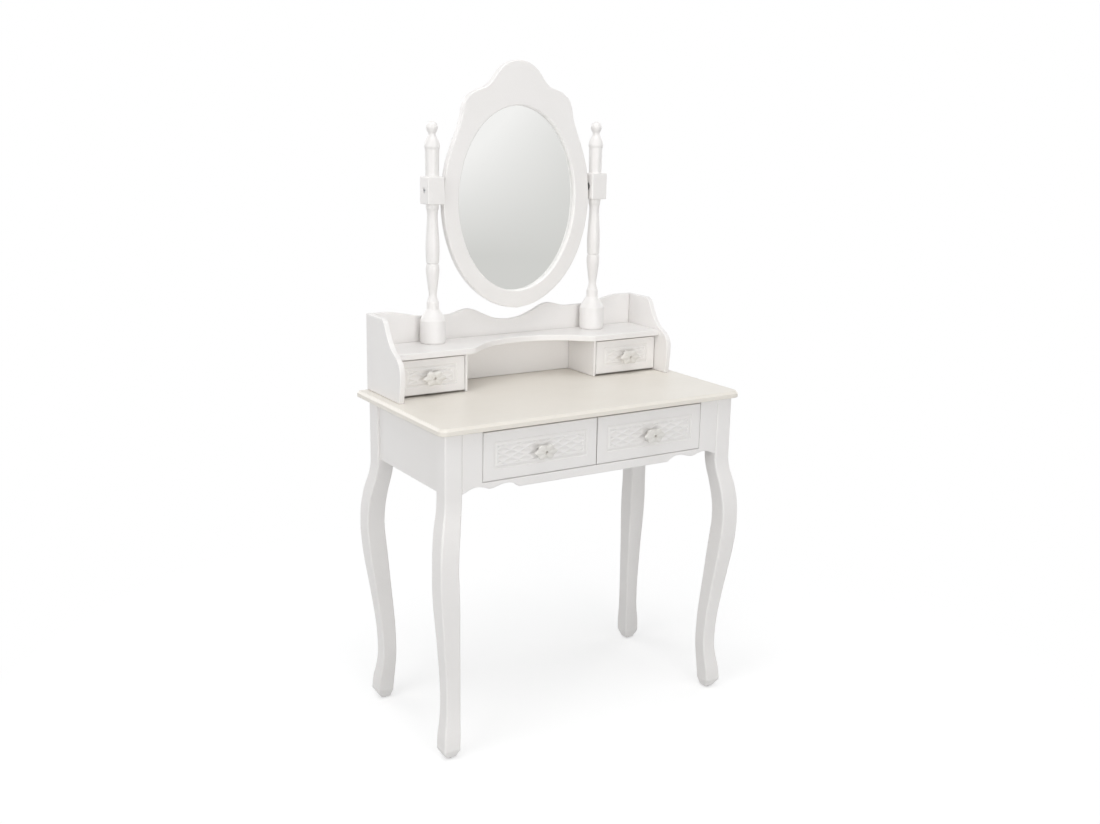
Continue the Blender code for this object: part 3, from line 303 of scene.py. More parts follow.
# Pull, from its dimple to its foot: share of the lobed outline, round radius, how far back
# from the tip, and how much deeper between the lobes.
PULL_RINGS = (
    (0.00, 0.0012, 0.0019, 0), (0.00, 0.0020, 0.0017, 0), (0.00, 0.0027, 0.0007, 0),
    (0.00, 0.0032, 0.0001, 0), (0.00, 0.0039, 0.0000, 0), (0.00, 0.0046, 0.0003, 0),
    (0.00, 0.0052, 0.0011, 0), (0.15, 0.0036, 0.0010, 0), (0.30, 0.0022, 0.0008, 0.0002),
    (0.50, 0.0010, 0.0007, 0.0004), (0.70, 0.0004, 0.0009, 0.0006), (0.85, 0, 0.0014, 0.0005),
    (0.95, 0, 0.0021, 0.0003), (1.00, 0, 0.0031, 0), (0.995, 0, 0.0041, 0), (0.96, 0, 0.0048, 0),
    (0.65, 0.0018, 0.0051, 0), (0.32, 0.0038, 0.0053, 0), (0.00, 0.0068, 0.0058, 0),
    (0.00, 0.0054, 0.0074, 0), (0.00, 0.0046, 0.0095, 0), (0.00, 0.0044, 0.0118, 0),
    (0.00, 0.0049, 0.0152, 0), (0.00, 0.0064, 0.0178, 0), (0.00, 0.0084, 0.0196, 0),
    (0.00, 0.0094, 0.0208, 0), (0.00, 0.0095, 0.0215, 0),
)

STANDING = Matrix.Rotation(math.pi / 2, 4, "X")
SIDEWAYS = Matrix.Rotation(math.pi / 2, 4, "Z") @ STANDING


class Box:
    """Where a node of the frame is."""

    def __init__(self, node):
        low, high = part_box(node)
        self.low = Vector(low)
        self.high = Vector(high)
        self.size = self.high - self.low
        self.middle = (self.low + self.high) / 2


class Value:
    """A socket of a shader. Python's operators on it add Math nodes."""

    def __init__(self, shader, socket):
        self.shader = shader
        self.socket = socket

    def math(self, operation, first, second):
        return self.shader.add("Math", {"operation": operation}, {0: first, 1: second})

    def __add__(self, other):
        return self.math("ADD", self, other)

    def __radd__(self, other):
        return self.math("ADD", other, self)

    def __sub__(self, other):
        return self.math("SUBTRACT", self, other)

    def __rsub__(self, other):
        return self.math("SUBTRACT", other, self)

    def __mul__(self, other):
        return self.math("MULTIPLY", self, other)

    def __rmul__(self, other):
        return self.math("MULTIPLY", other, self)

    def __truediv__(self, other):
        return self.math("DIVIDE", self, other)

    def clamped(self):
        return self.shader.add("Clamp", {}, {"Value": self})


class Shader:
    """The nodes of a new material, or of the world."""

    def __init__(self, name, world=None):
        self.material = world or bpy.data.materials.new(name)
        self.material.use_nodes = True
        self.nodes = self.material.node_tree.nodes
        self.links = self.material.node_tree.links

    def put(self, node, sockets):
        for key, value in sockets.items():
            if isinstance(value, Value):
                self.links.new(value.socket, node.inputs[key])
            else:
                node.inputs[key].default_value = value

    def add(self, kind, settings, sockets, output=0):
        """A node of a kind, with its settings first, then its sockets' values or links."""
        node = self.nodes.new("ShaderNode" + kind)
        for key, value in settings.items():
            setattr(node, key, value)
        self.put(node, sockets)
        return Value(self, node.outputs[output])

    def place(self, stretch=(1, 1, 1)):
        """Places on the piece itself, stretched by shares along X, Y and Z."""
        at = self.add("TexCoord", {}, {}, "Object")
        return self.add("Mapping", {}, {"Vector": at, "Scale": stretch})

    def noise(self, scale, detail=2.0, roughness=0.5, stretch=(1, 1, 1)):
        sockets = {"Vector": self.place(stretch), "Scale": scale, "Detail": detail, "Roughness": roughness}
        return self.add("TexNoise", {}, sockets)

    def attribute(self, name):
        return self.add("Attribute", {"attribute_name": name}, {}, "Fac")

    def mix(self, share, first, second):
        """A colour between two."""
        first = first if isinstance(first, Value) else (*first, 1.0)
        second = second if isinstance(second, Value) else (*second, 1.0)
        sockets = {0: share, 6: first, 7: second}
        return self.add("Mix", {"data_type": "RGBA"}, sockets, 2)

    def bump(self, height, depth):
        return self.add("Bump", {}, {"Height": height, "Distance": depth, "Strength": 1.0})

    def seen(self):
        """1 to a camera or in a reflection, and 0 to the light that falls on other things."""
        camera = self.add("LightPath", {}, {}, "Is Camera Ray")
        glossy = self.add("LightPath", {}, {}, "Is Glossy Ray")
        return self.add("Math", {"operation": "MAXIMUM"}, {0: camera, 1: glossy})

    def glow(self, colour, strength):
        return self.add("Emission", {}, {"Color": colour, "Strength": strength})

    def show(self, surface, output="Material Output"):
        self.links.new(surface.socket, self.nodes[output].inputs[0])

    def finish(self, **sockets):
        """Sets the Principled shader's sockets, named with underscores."""
        principled = self.nodes["Principled BSDF"]
        self.put(principled, {key.replace("_", " "): value for key, value in sockets.items()})
        return self.material


def lacquer(name, light, deep, grain=0.0):
    """Satin paint on board: a little mottled, with orange peel, painted shade in the hollows and a soft
    coat.
    """
    shader = Shader(name)
    cloud = shader.noise(5.0, 3.0)
    speckle = shader.noise(310.0, 2.0)
    streak = shader.noise(22.0, 4.0, 0.6, (0.35, 9.0, 9.0))
    # The hollow marks of the drawer fronts darken the lacquer here: painted shade in their grooves and
    # pockets.
    shade_and_patina = shader.attribute("shade_and_patina")
    share = (cloud - 0.5) * 0.9 + (speckle - 0.5) * 0.35 + (streak - 0.5) * grain + shade_and_patina * 0.85 + 0.32
    colour = shader.mix(share.clamped(), light, deep)
    rough = 0.34 + (shader.noise(17.0, 3.0) - 0.5) * 0.16 + (speckle - 0.5) * 0.10 + shade_and_patina * 0.12
    peel = shader.noise(640.0, 1.5) * 0.55 + shader.noise(95.0, 2.0) * 0.9 + streak * grain
    return shader.finish(
        Base_Color=colour, Roughness=rough.clamped(), Normal=shader.bump(peel, 0.00007),
        Coat_Weight=(0.16 + (cloud - 0.5) * 0.1).clamped(), Coat_Roughness=0.22, Specular_IOR_Level=0.45,
    )


def drawer_foil(name):
    """Pale foil with a printed grain that runs along the board."""
    shader = Shader(name)
    grain = shader.noise(26.0, 5.0, 0.62, (7.0, 0.55, 9.0))
    pores = shader.noise(160.0, 2.0, 0.5, (4.0, 0.22, 4.0))
    share = ((grain - 0.5) * 1.7 + (pores - 0.5) * 0.7 + 0.45).clamped()
    colour = shader.mix(share, (0.790, 0.763, 0.710), (0.665, 0.628, 0.565))
    height = shader.noise(850.0, 1.0) * 0.5 + pores
    rough = (0.50 + (grain - 0.5) * 0.2).clamped()
    return shader.finish(Base_Color=colour, Roughness=rough, Normal=shader.bump(height, 0.00006))


def hardboard(name):
    """Brown pressed fibre, with darker flecks and a meshed face."""
    shader = Shader(name)
    fibre = shader.noise(120.0, 5.0, 0.7)
    fleck = shader.noise(420.0, 2.0, 0.5, (1.0, 1.0, 0.35))
    share = ((fibre - 0.5) * 1.5 + (fleck - 0.5) * 1.3 + 0.5).clamped()
    colour = shader.mix(share, (0.33, 0.235, 0.150), (0.20, 0.130, 0.078))
    mesh = shader.add("TexVoronoi", {}, {"Vector": shader.place(), "Scale": 900.0}, "Distance")
    height = mesh * 0.8 + fibre * 0.6
    rough = (0.74 + (fleck - 0.5) * 0.25).clamped()
    return shader.finish(Base_Color=colour, Roughness=rough, Normal=shader.bump(height, 0.00022))


def enamel(name):
    """Antique white over cast metal, rubbed on the high places; darker in the hollows, partly antique
    patina and partly painted shade.
    """
    shader = Shader(name)
    shade_and_patina = shader.attribute("shade_and_patina")
    blotch = shader.noise(260.0, 3.0, 0.6)
    # The hollow marks darken the colour: painted shade, with some antique patina.
    share = (shade_and_patina * 1.1 + (blotch - 0.5) * 0.55).clamped()
    colour = shader.mix(share, (0.745, 0.724, 0.690), (0.43, 0.400, 0.360))
    rough = (0.30 + shade_and_patina * 0.35 + (blotch - 0.5) * 0.2).clamped()
    return shader.finish(
        Base_Color=colour, Roughness=rough, Metallic=(0.12 - shade_and_patina * 0.1).clamped(),
        Normal=shader.bump(blotch, 0.00012), Coat_Weight=0.25, Coat_Roughness=0.2,
    )


def zinc(name):
    """Zinc plate with a faint spangle and fine drawn lines."""
    shader = Shader(name)
    spangle = shader.add("TexVoronoi", {}, {"Vector": shader.place(), "Scale": 420.0}, "Color")
    tone = shader.add("SeparateColor", {}, {"Color": spangle})
    lines = shader.noise(300.0, 2.0, 0.5, (0.1, 0.1, 4.0))
    colour = shader.mix((tone * 0.6 + lines * 0.3).clamped(), (0.68, 0.69, 0.70), (0.50, 0.51, 0.53))
    rough = (0.26 + tone * 0.12 + lines * 0.14).clamped()
    return shader.finish(
        Base_Color=colour, Roughness=rough, Metallic=1.0, Normal=shader.bump(lines + tone * 0.4, 0.00004),
    )


def silvered(name):
    """Mirror glass: silver under glass, with a trace of haze."""
    shader = Shader(name)
    haze = shader.noise(9.0, 3.0)
    colour = shader.mix(haze, (0.900, 0.910, 0.905), (0.880, 0.895, 0.890))
    rough = (0.012 + haze * 0.012).clamped()
    return shader.finish(Base_Color=colour, Roughness=rough, Metallic=1.0, Specular_IOR_Level=0.5)


def nylon(name):
    """Dark moulded nylon, scuffed a little."""
    shader = Shader(name)
    scuff = shader.noise(210.0, 4.0, 0.65)
    colour = shader.mix(scuff, (0.020, 0.020, 0.021), (0.065, 0.064, 0.062))
    rough = (0.42 + (scuff - 0.5) * 0.4).clamped()
    return shader.finish(Base_Color=colour, Roughness=rough, Normal=shader.bump(scuff, 0.00008))


finishes = {
    "white_paint": lacquer("white_lacquer", (0.870, 0.852, 0.838), (0.800, 0.778, 0.756)),
    "top_paint": lacquer("cream_lacquer", (0.825, 0.787, 0.722), (0.765, 0.720, 0.648), 0.55),
    "drawer_board": drawer_foil("drawer_foil"),
    "hardboard": hardboard("hardboard"),
    "pull_enamel": enamel("antique_enamel"),
    "zinc_steel": zinc("zinc_plate"),
    "silvered_glass": silvered("silvered_glass"),
    "dark_plastic": nylon("dark_nylon"),
}


def both_halves(half):
    """Closes an outline whose right half starts and ends on the middle line."""
    return half + [(-x, y) for x, y in reversed(half) if x > 0]


def curve_at(a, b, c, d, t):
    """A smooth curve from b to c, with a before and d after them, at a share t of the way."""
    bend = 2 * a - 5 * b + 4 * c - d
    twist = 3 * b - a - 3 * c + d
    return ((2 * b) + (c - a) * t + bend * t * t + twist * t ** 3) / 2


def smooth_through(points, count):
    """Reads count points, evenly spread by share, from a smooth curve through the points."""
    ends = [points[0]] + list(points) + [points[-1]]
    spans = len(points) - 1
    read = []
    for i in range(count):
        place = i * spans / (count - 1)
        span = min(int(place), spans - 1)
        read.append(tuple(curve_at(*four, place - span) for four in zip(*ends[span:span + 4])))
    return read


def curve_of(shares, readings, start, reach):
    """A smooth curve through shares of a reach, from a start."""
    curve = smooth_through(shares, readings)
    return [(start[0] + first * reach[0], start[1] + second * reach[1]) for first, second in curve]


def arc(middle, radius, start, end, steps):
    """Points round a middle, from one angle to another, in degrees."""
    points = []
    for i in range(steps + 1):
        angle = math.radians(start + (end - start) * i / steps)
        points.append((middle[0] + radius * math.cos(angle), middle[1] + radius * math.sin(angle)))
    return points


def rounded_rectangle(low, high, radius, steps=3):
    return (
        arc((high[0] - radius, low[1] + radius), radius, -90, 0, steps)
        + arc((high[0] - radius, high[1] - radius), radius, 0, 90, steps)
        + arc((low[0] + radius, high[1] - radius), radius, 90, 180, steps)
        + arc((low[0] + radius, low[1] + radius), radius, 180, 270, steps)
    )


def oval(width, height, middle, steps=128):
    turns = [2 * math.pi * i / steps for i in range(steps)]
    return [(middle[0] + width / 2 * math.cos(a), middle[1] + height / 2 * math.sin(a)) for a in turns]


def placed(name, data):
    """A new object in the scene."""
    thing = bpy.data.objects.new(name, data)
    bpy.context.scene.collection.objects.link(thing)
    return thing


def mesh_from(bm, name):
    mesh = bpy.data.meshes.new(name)
    bm.to_mesh(mesh)
    bm.free()
    return mesh


def evaluated(holder):
    """The mesh that an object's curve or modifiers make. The object itself is removed."""
    bpy.context.view_layer.update()
    mesh = bpy.data.meshes.new_from_object(holder.evaluated_get(bpy.context.evaluated_depsgraph_get()))
    bpy.data.objects.remove(holder)
    return mesh


def plate(thickness, outlines, place=(0, 0, 0), edge=BOARD_ROUND, turn=Matrix(), resolution=2):
    """A board filled from its outline and holes, with rounded edges, turned and then placed."""
    curve = bpy.data.curves.new("outline", "CURVE")
    curve.dimensions = "2D"
    curve.fill_mode = "BOTH"
    curve.extrude = thickness / 2 - edge
    curve.bevel_depth = edge
    curve.bevel_resolution = resolution
    curve.offset = -edge
    for outline in outlines:
        spline = curve.splines.new("POLY")
        spline.points.add(len(outline) - 1)
        for point, (x, y) in zip(spline.points, outline):
            point.co = (x, y, 0, 1)
        spline.use_cyclic_u = True
    mesh = evaluated(placed("outline", curve))
    bm = bmesh.new()
    bm.from_mesh(mesh)
    bmesh.ops.remove_doubles(bm, verts=bm.verts, dist=WELD)
    bmesh.ops.recalc_face_normals(bm, faces=bm.faces)
    bmesh.ops.transform(bm, matrix=Matrix.Translation(place) @ turn, verts=bm.verts)
    return mesh_from(bm, "board")


def walls(bm, rings, closed=False):
    """Faces between rings of points that follow each other. Gives the rings' vertices."""
    loops = [[bm.verts.new(point) for point in ring] for ring in rings]
    for first, second in zip(loops, loops[1:] + (loops[:1] if closed else [])):
        for i in range(len(first)):
            following = (i + 1) % len(first)
            bm.faces.new((first[i], first[following], second[following], second[i]))
    return loops


def loft(rings, name, closed=False):
    """A solid over rings of points, with a face on each end, or closed round to its first ring."""
    bm = bmesh.new()
    loops = walls(bm, rings, closed)
    if not closed:
        bm.faces.new(loops[0])
        bm.faces.new(loops[-1])
    bmesh.ops.recalc_face_normals(bm, faces=bm.faces)
    return mesh_from(bm, name)


def turned(profile, steps=64, place=(0, 0, 0), turn=Matrix(), ring=False):
    """A solid turned on Z from radii and heights, turned over and then placed."""
    bm = bmesh.new()
    loops = []
    for radius, height in profile:
        if radius < WELD:
            loops.append([bm.verts.new((0, 0, height))])
            continue
        turns = [2 * math.pi * i / steps for i in range(steps)]
        loops.append([bm.verts.new((radius * math.cos(a), radius * math.sin(a), height)) for a in turns])
    pairs = list(zip(loops, loops[1:])) + ([(loops[-1], loops[0])] if ring else [])
    for upper, lower in pairs:
        for i in range(steps):
            following = (i + 1) % steps
            corners = [upper[i % len(upper)], upper[following % len(upper)]]
            corners += [lower[following % len(lower)], lower[i % len(lower)]]
            bm.faces.new(list(dict.fromkeys(corners)))
    bmesh.ops.recalc_face_normals(bm, faces=bm.faces)
    bmesh.ops.transform(bm, matrix=Matrix.Translation(place) @ turn, verts=bm.verts)
    return mesh_from(bm, "turned")


def block(low, high, edge):
    """A box with all its edges rounded."""
    bm = bmesh.new()
    bmesh.ops.create_cube(bm, size=1)
    bmesh.ops.scale(bm, vec=Vector(high) - Vector(low), verts=bm.verts)
    bmesh.ops.translate(bm, vec=(Vector(low) + Vector(high)) / 2, verts=bm.verts)
    bmesh.ops.bevel(
        bm, geom=bm.edges[:], offset=edge, segments=4, profile=0.5, affect="EDGES", clamp_overlap=True,
    )
    return mesh_from(bm, "block")


def together(*meshes):
    """One mesh of several separate ones."""
    bm = bmesh.new()
    for mesh in meshes:
        bm.from_mesh(mesh)
        bpy.data.meshes.remove(mesh)
    return mesh_from(bm, "together")


def combined(mesh, tools, operation):
    """A mesh cut by, or joined with, others."""
    holder = placed("combined", mesh)
    helpers = [placed("tool", tool) for tool in tools]
    for helper in helpers:
        step = holder.modifiers.new("step", "BOOLEAN")
        step.operation = operation
        step.solver = "EXACT"
        step.object = helper
    made = evaluated(holder)
    for helper in helpers:
        bpy.data.objects.remove(helper)
    return made


def cut(mesh, *tools):
    return combined(mesh, tools, "DIFFERENCE")


def dress(node, mesh, name=None, angle=32, weighted=True, body=None, slot=None):
    """Makes a mesh the visible piece of a node, in that node's finish, on that node's body."""
    mesh.materials.clear()
    slot = slot or slot_of_node[node]
    mesh.materials.append(finishes[slot])
    mesh.polygons.foreach_set("material_index", [0] * len(mesh.polygons))
    mesh.shade_smooth()
    mesh.set_sharp_from_angle(angle=math.radians(angle))
    piece = placed(name or node + "_piece", mesh)
    if weighted:
        normals = piece.modifiers.new("even_shading", "WEIGHTED_NORMAL")
        normals.keep_sharp = True
    if node:
        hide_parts(node)
    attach(piece, body or body_of_node[node])
    return piece


def hollows(mesh, share_at):
    """Marks each point with a share of darkening for its finish: painted shade in hollows, and on the
    pulls some antique patina too.
    """
    marks = mesh.attributes.new("shade_and_patina", "FLOAT", "POINT")
    marks.data.foreach_set("value", [share_at(vert.co) for vert in mesh.vertices])
    return mesh


def make_desktop():
    """The top, whose moulded edge runs round the front and the sides."""
    top = Box("desktop")
    half_width = top.size.x / 2
    nose = TOP_NOSE_ROUND
    edge = TOP_EDGE_ROUND
    step = top.size.z - TOP_STEP_HEIGHT
    moulding = (
        arc((nose, nose), nose, 270, 180, 6) + arc((nose, step - nose), nose, 180, 110, 6)
        + arc((TOP_STEP_INSET + edge, top.size.z - edge), edge, 160, 90, 6)
    )
    corner = (half_width - TOP_CORNER_RADIUS, top.low.y + TOP_CORNER_RADIUS)
    rings = []
    for inset, height in moulding:
        radius = TOP_CORNER_RADIUS - inset
        back = top.high.y - (inset if height < nose else max(0, inset - TOP_STEP_INSET))
        side = half_width - inset
        half = [(0, corner[1] - radius)] + arc(corner, radius, -90, 0, 10) + [(side, back), (0, back)]
        rings.append([(x, y, top.low.z + height) for x, y in both_halves(half)])
    dress("desktop", loft(rings, "desktop"))


def leg_rings():
    """Rings of a leg that bows out to +X and +Y: rounded squares from the foot to the head."""
    head = Box("leg_back_right")
    half = LEG_BLOCK / 2
    sections = [(head.low.z, *LEG_FOOT_SHARES)]
    shoulder = Box("back_apron").low.z - LEG_SHOULDER_DROP
    curve = smooth_through(LEG_SHARES, LEG_READINGS)
    sections += [(shoulder * height, outer, inner) for height, outer, inner in curve[::-1]]
    sections.append((head.high.z, 1, -1))
    rings = []
    for height, outer, inner in sections:
        low = (half * inner, half * inner)
        high = (half * outer, half * outer)
        radius = LEG_CORNER_ROUND * min(1, (outer - inner) / 2 + SLIM_LEG_ROUND_SHARE)
        rings.append([(x, y, height) for x, y in rounded_rectangle(low, high, radius, 5)])
    return rings


def make_legs():
    """Four legs, their glides, and the steel that holds them to the frame."""
    rings = leg_rings()
    half = LEG_BLOCK / 2
    for corner in CORNERS:
        box = Box("leg_" + corner)
        x = box.low.x + half if "right" in corner else box.high.x - half
        y = box.high.y - half if "front" in corner else box.low.y + half
        leg = loft(rings, "leg")
        leg.transform(Matrix.Translation((x, y, 0)) @ corner_turn(corner))
        dress("leg_" + corner, leg, angle=40)
        make_glide(corner)
        make_bracket(corner)
        make_hanger(corner)


def corner_turn(corner):
    """Turns a leg's own axes to those of its corner."""
    return Matrix.Rotation(CORNERS.index(corner) * math.pi / 2, 4, "Z")


def make_glide(corner):
    """A nylon nail under a foot, with a small pit in its middle."""
    box = Box("leg_glide_" + corner)
    radius = box.size.x / 2
    height = box.size.z
    soft = height * GLIDE_ROUND_SHARE
    pit = height * GLIDE_PIT_DEPTH_SHARE
    profile = [(0, height), (radius, height)] + arc((radius - soft, soft), soft, 0, -90, 5)
    profile += [(radius * GLIDE_PIT_SHARE, 0), (radius * GLIDE_PIT_FLOOR_SHARE, pit), (0, pit)]
    dress("leg_glide_" + corner, turned(profile, 48, (box.middle.x, box.middle.y, 0)))


def make_bracket(corner):
    """A steel strip bent round an inner corner of the frame, with a round hole in its middle."""
    box = Box("corner_bracket_" + corner)
    span = min(BRACKET_REACH, box.size.x - BRACKET_STEEL)
    path = [
        Vector((0, BRACKET_FLANGE - span)), Vector((0, -span)),
        Vector((-span, 0)), Vector((BRACKET_FLANGE - span, 0)),
    ]
    outline = thickened(bent_path(path, BRACKET_BEND), BRACKET_STEEL / 2)
    mesh = plate(box.size.z, [outline], edge=BRACKET_ROUND)
    bore = BOLT_RADIUS + BORE_GAP
    reach = BRACKET_HOLE_REACH
    across = Matrix.Rotation(math.pi / 4, 4, "Z") @ SIDEWAYS @ STANDING
    profile = [(0, reach), (bore, reach), (bore, -reach), (0, -reach)]
    mesh = cut(mesh, turned(profile, 24, (-span / 2, -span / 2, 0), across))
    mesh.transform(corner_turn(corner))
    low = [min(v.co[i] for v in mesh.vertices) for i in range(2)]
    high = [max(v.co[i] for v in mesh.vertices) for i in range(2)]
    shift = (box.middle.x - (low[0] + high[0]) / 2, box.middle.y - (low[1] + high[1]) / 2, box.middle.z)
    mesh.transform(Matrix.Translation(shift))
    dress("corner_bracket_" + corner, mesh)


def bent_path(path, radius, steps=5):
    """A path whose inner corners are bent round a radius."""
    points = [path[0]]
    for before, corner, after in zip(path, path[1:], path[2:]):
        towards = (before - corner).normalized()
        away = (after - corner).normalized()
        start = corner + towards * radius
        end = corner + away * radius
        for i in range(steps + 1):
            t = i / steps
            points.append(start * (1 - t) ** 2 + corner * 2 * t * (1 - t) + end * t * t)
    return points + [path[-1]]


def thickened(path, half):
    """The outline of a strip along a path."""
    left = []
    right = []
    for i, point in enumerate(path):
        along = (path[min(i + 1, len(path) - 1)] - path[max(i - 1, 0)]).normalized()
        across = Vector((-along.y, along.x)) * half
        left.append(tuple(point + across))
        right.append(tuple(point - across))
    return left + right[::-1]


def make_hanger(corner):
    """The bolt out of a leg's inner corner: a threaded rod and a hexagonal nut."""
    box = Box("hanger_bolt_" + corner)
    outward = corner_turn(corner) @ Vector((1, 1, 0)).normalized()
    diagonal = box.size.x * math.sqrt(2)
    tip = box.middle - outward * (diagonal / 2 - BOLT_RADIUS)
    length = diagonal - 2 * BOLT_RADIUS
    turn = outward.to_track_quat("Z", "Y").to_matrix().to_4x4()
    threads = int(length / BOLT_PITCH)
    root = BOLT_RADIUS * BOLT_ROOT_SHARE
    end = BOLT_RADIUS * BOLT_END_SHARE
    profile = [(0, 0), (end, 0)]
    for i in range(threads):
        low = BOLT_THREAD_START + i * (length - BOLT_THREAD_ROOM) / threads
        profile += [(root, low), (BOLT_RADIUS, low + BOLT_CREST)]
    profile += [(end, length), (0, length)]
    rod = turned(profile, 24, tip, turn)
    sides = arc((0, 0), NUT_RADIUS, 0, 300, 5)
    hole = arc((0, 0), BOLT_RADIUS * NUT_BORE_SHARE, 0, 345, 23)
    nut = plate(NUT_HEIGHT, [sides, hole], (0, 0, NUT_PLACE + NUT_HEIGHT / 2), NUT_ROUND)
    nut.transform(Matrix.Translation(tip) @ turn)
    dress("hanger_bolt_" + corner, together(rod, nut), angle=50)


def board(node, edge=BOARD_ROUND):
    """A plain board of a node's size, with rounded edges."""
    box = Box(node)
    dress(node, block(box.low, box.high, edge))


def standing(node, outlines, edge=BOARD_ROUND, resolution=2):
    """A board of a node, as a plate whose outline is in X and Z."""
    box = Box(node)
    return plate(box.size.y, outlines, (0, box.middle.y, 0), edge, STANDING, resolution)


def make_frame():
    """Aprons, the scalloped front frame, and the boards that guide the drawers."""
    for side, sign in SIDES.items():
        board("side_apron_" + side)
        make_guide(side, sign)
    board("back_apron")
    box = Box("front_frame")
    end = box.high.x
    scallop = [
        (end - (1 - share) * SCALLOP_LENGTH, box.low.z + depth * SCALLOP_DEPTH)
        for share, depth in smooth_through(SCALLOP_SHARES, SCALLOP_READINGS)
    ]
    rail = box.low.z + RAIL_HEIGHT
    opening = end - STILE_WIDTH
    outline = both_halves([(0, box.low.z)] + scallop + [
        (end, box.high.z), (opening, box.high.z), (opening, rail), (0, rail),
    ])
    dress("front_frame", standing("front_frame", [outline]))
    partition = Box("drawer_partition")
    web = PARTITION_HALF
    section = both_halves([
        (0, partition.low.z), (partition.high.x, partition.low.z), (partition.high.x, rail), (web, rail),
        (web, partition.high.z), (0, partition.high.z),
    ])
    dress("drawer_partition", standing("drawer_partition", [section], GUIDE_ROUND))


def make_guide(side, sign):
    """The board beside a large drawer, with the ledge that the drawer runs on."""
    node = "drawer_guide_" + side
    box = Box(node)
    foot, outer = sorted((abs(box.low.x), abs(box.high.x)))
    face = outer - GUIDE_THICKNESS
    ledge = Box("front_frame").low.z + RAIL_HEIGHT
    section = [
        (foot, box.low.z), (outer, box.low.z), (outer, box.high.z),
        (face, box.high.z), (face, ledge), (foot, ledge),
    ]
    dress(node, standing(node, [[(sign * x, z) for x, z in section]], GUIDE_ROUND))


def clipped(outline, axis, limit, side):
    """A convex outline cut off at a limit on one axis."""
    kept = []
    for start, end in zip(outline, outline[1:] + outline[:1]):
        start_room = side * (limit - start[axis])
        end_room = side * (limit - end[axis])
        if start_room > 0:
            kept.append(start)
        if start_room * end_room < 0:
            way = start_room / (start_room - end_room)
            kept.append(tuple(a + way * (b - a) for a, b in zip(start, end)))
    return kept


def area(outline):
    pairs = zip(outline, outline[1:] + outline[:1])
    return abs(sum(a[0] * b[1] - b[0] * a[1] for a, b in pairs)) / 2


def inset_outline(outline, distance):
    """A convex outline moved inwards by a distance on every side."""
    moved = []
    pairs = zip(outline, outline[1:] + outline[:1])
    turn = 1 if sum(a[0] * b[1] - b[0] * a[1] for a, b in pairs) > 0 else -1
    count = len(outline)
    for i in range(count):
        before = Vector(outline[i - 1])
        here = Vector(outline[i])
        after = Vector(outline[(i + 1) % count])
        first = (here - before).normalized()
        second = (after - here).normalized()
        normal = Vector((-first.y - second.y, first.x + second.x)) * turn
        normal.normalize()
        lean = normal.dot(Vector((-first.y, first.x)) * turn)
        moved.append(tuple(here + normal * distance / max(lean, SHARPEST_LEAN)))
    return moved


def lattice_pockets(field_x, field_z):
    """The diamonds between the ribs of a lattice, cut off at the edges of its field."""
    half_length = LATTICE_HALF_LENGTH
    half_height = LATTICE_HALF_HEIGHT
    side = half_length * half_height / math.hypot(half_length, half_height)
    shrink = 1 - LATTICE_RIB / 2 / side
    reach_x = half_length * shrink
    reach_z = half_height * shrink
    columns = math.ceil(field_x / half_length)
    rows = math.ceil(field_z / half_height)
    pockets = []
    for column in range(-columns, columns + 1):
        for row in range(-rows, rows + 1):
            if (column + row) % 2:
                continue
            x = column * half_length
            z = row * half_height
            pocket = [(x - reach_x, z), (x, z - reach_z), (x + reach_x, z), (x, z + reach_z)]
            for axis, limit in ((0, field_x), (1, field_z)):
                pocket = clipped(pocket, axis, limit, 1)
                pocket = clipped(pocket, axis, -limit, -1)
            if len(pocket) > 2 and area(pocket) > SMALLEST_POCKET_SHARE * 2 * reach_x * reach_z:
                pockets.append(pocket)
    return pockets


def cut_levels(ease, steps, room=1):
    """Insets and depths of a cut: above the face, at its eased edge, then down its steps."""
    return [*ABOVE_FACE, (0, ease), *((room * inset, LATTICE_DEPTH * down) for inset, down in steps)]


def sunk(bm, outline, levels, face):
    """Adds a solid that goes from above a front's face down through levels of inset and depth."""
    rings = []
    for inset, depth in levels:
        points = inset_outline(outline, inset) if inset else outline
        rings.append([(face.x + x, face.y + depth, face.z + z) for x, z in points])
    loops = walls(bm, rings)
    bm.faces.new(loops[-1])
    bm.faces.new(loops[0])


def make_front(name, kind):
    """A drawer front with a coved border and a lattice of dished diamonds."""
    box = Box(name + "_front")
    face = Vector((box.middle.x, box.low.y, box.middle.z))
    half_x = box.size.x / 2
    half_z = box.size.z / 2
    panel_x = half_x - PANEL_SIDE_MARGINS[kind]
    panel_z = half_z - PANEL_MARGINS[kind]
    top = half_z - FRONT_TOP_GAPS[kind]
    sheet = rounded_rectangle((-half_x, -half_z), (half_x, top), FRONT_CORNER_ROUND, 2)
    base = plate(box.size.y, [sheet], box.middle, BOARD_ROUND, STANDING, 3)
    tool = bmesh.new()
    for pocket in lattice_pockets(panel_x - PANEL_BORDER, panel_z - PANEL_BORDER):
        edges = sum(math.dist(a, b) for a, b in zip(pocket, pocket[1:] + pocket[:1]))
        sunk(tool, pocket, cut_levels(POCKET_EASE, POCKET_STEPS, 2 * area(pocket) / edges), face)
    bmesh.ops.recalc_face_normals(tool, faces=tool.faces)
    outer, inner = [
        [
            rounded_ring(panel_x - start + lean * inset, panel_z - start + lean * inset, soft, face, depth)
            for inset, depth in cut_levels(ease, steps)
        ]
        for start, lean, soft, ease, steps in GROOVE_SIDES
    ]
    groove = loft(outer + inner[::-1], "groove", closed=True)
    mesh = cut(base, mesh_from(tool, "pockets"), groove)

    def hollow_at(place):
        """Painted shade: a little darker, the deeper in the groove or in a pocket."""
        sunk_by = (place.y - face.y) / LATTICE_DEPTH
        return GROOVE_AND_POCKET_SHADE * min(1, max(0, sunk_by)) if sunk_by < DEEPEST_HOLLOW else 0

    dress(name + "_front", hollows(mesh, hollow_at), angle=28)


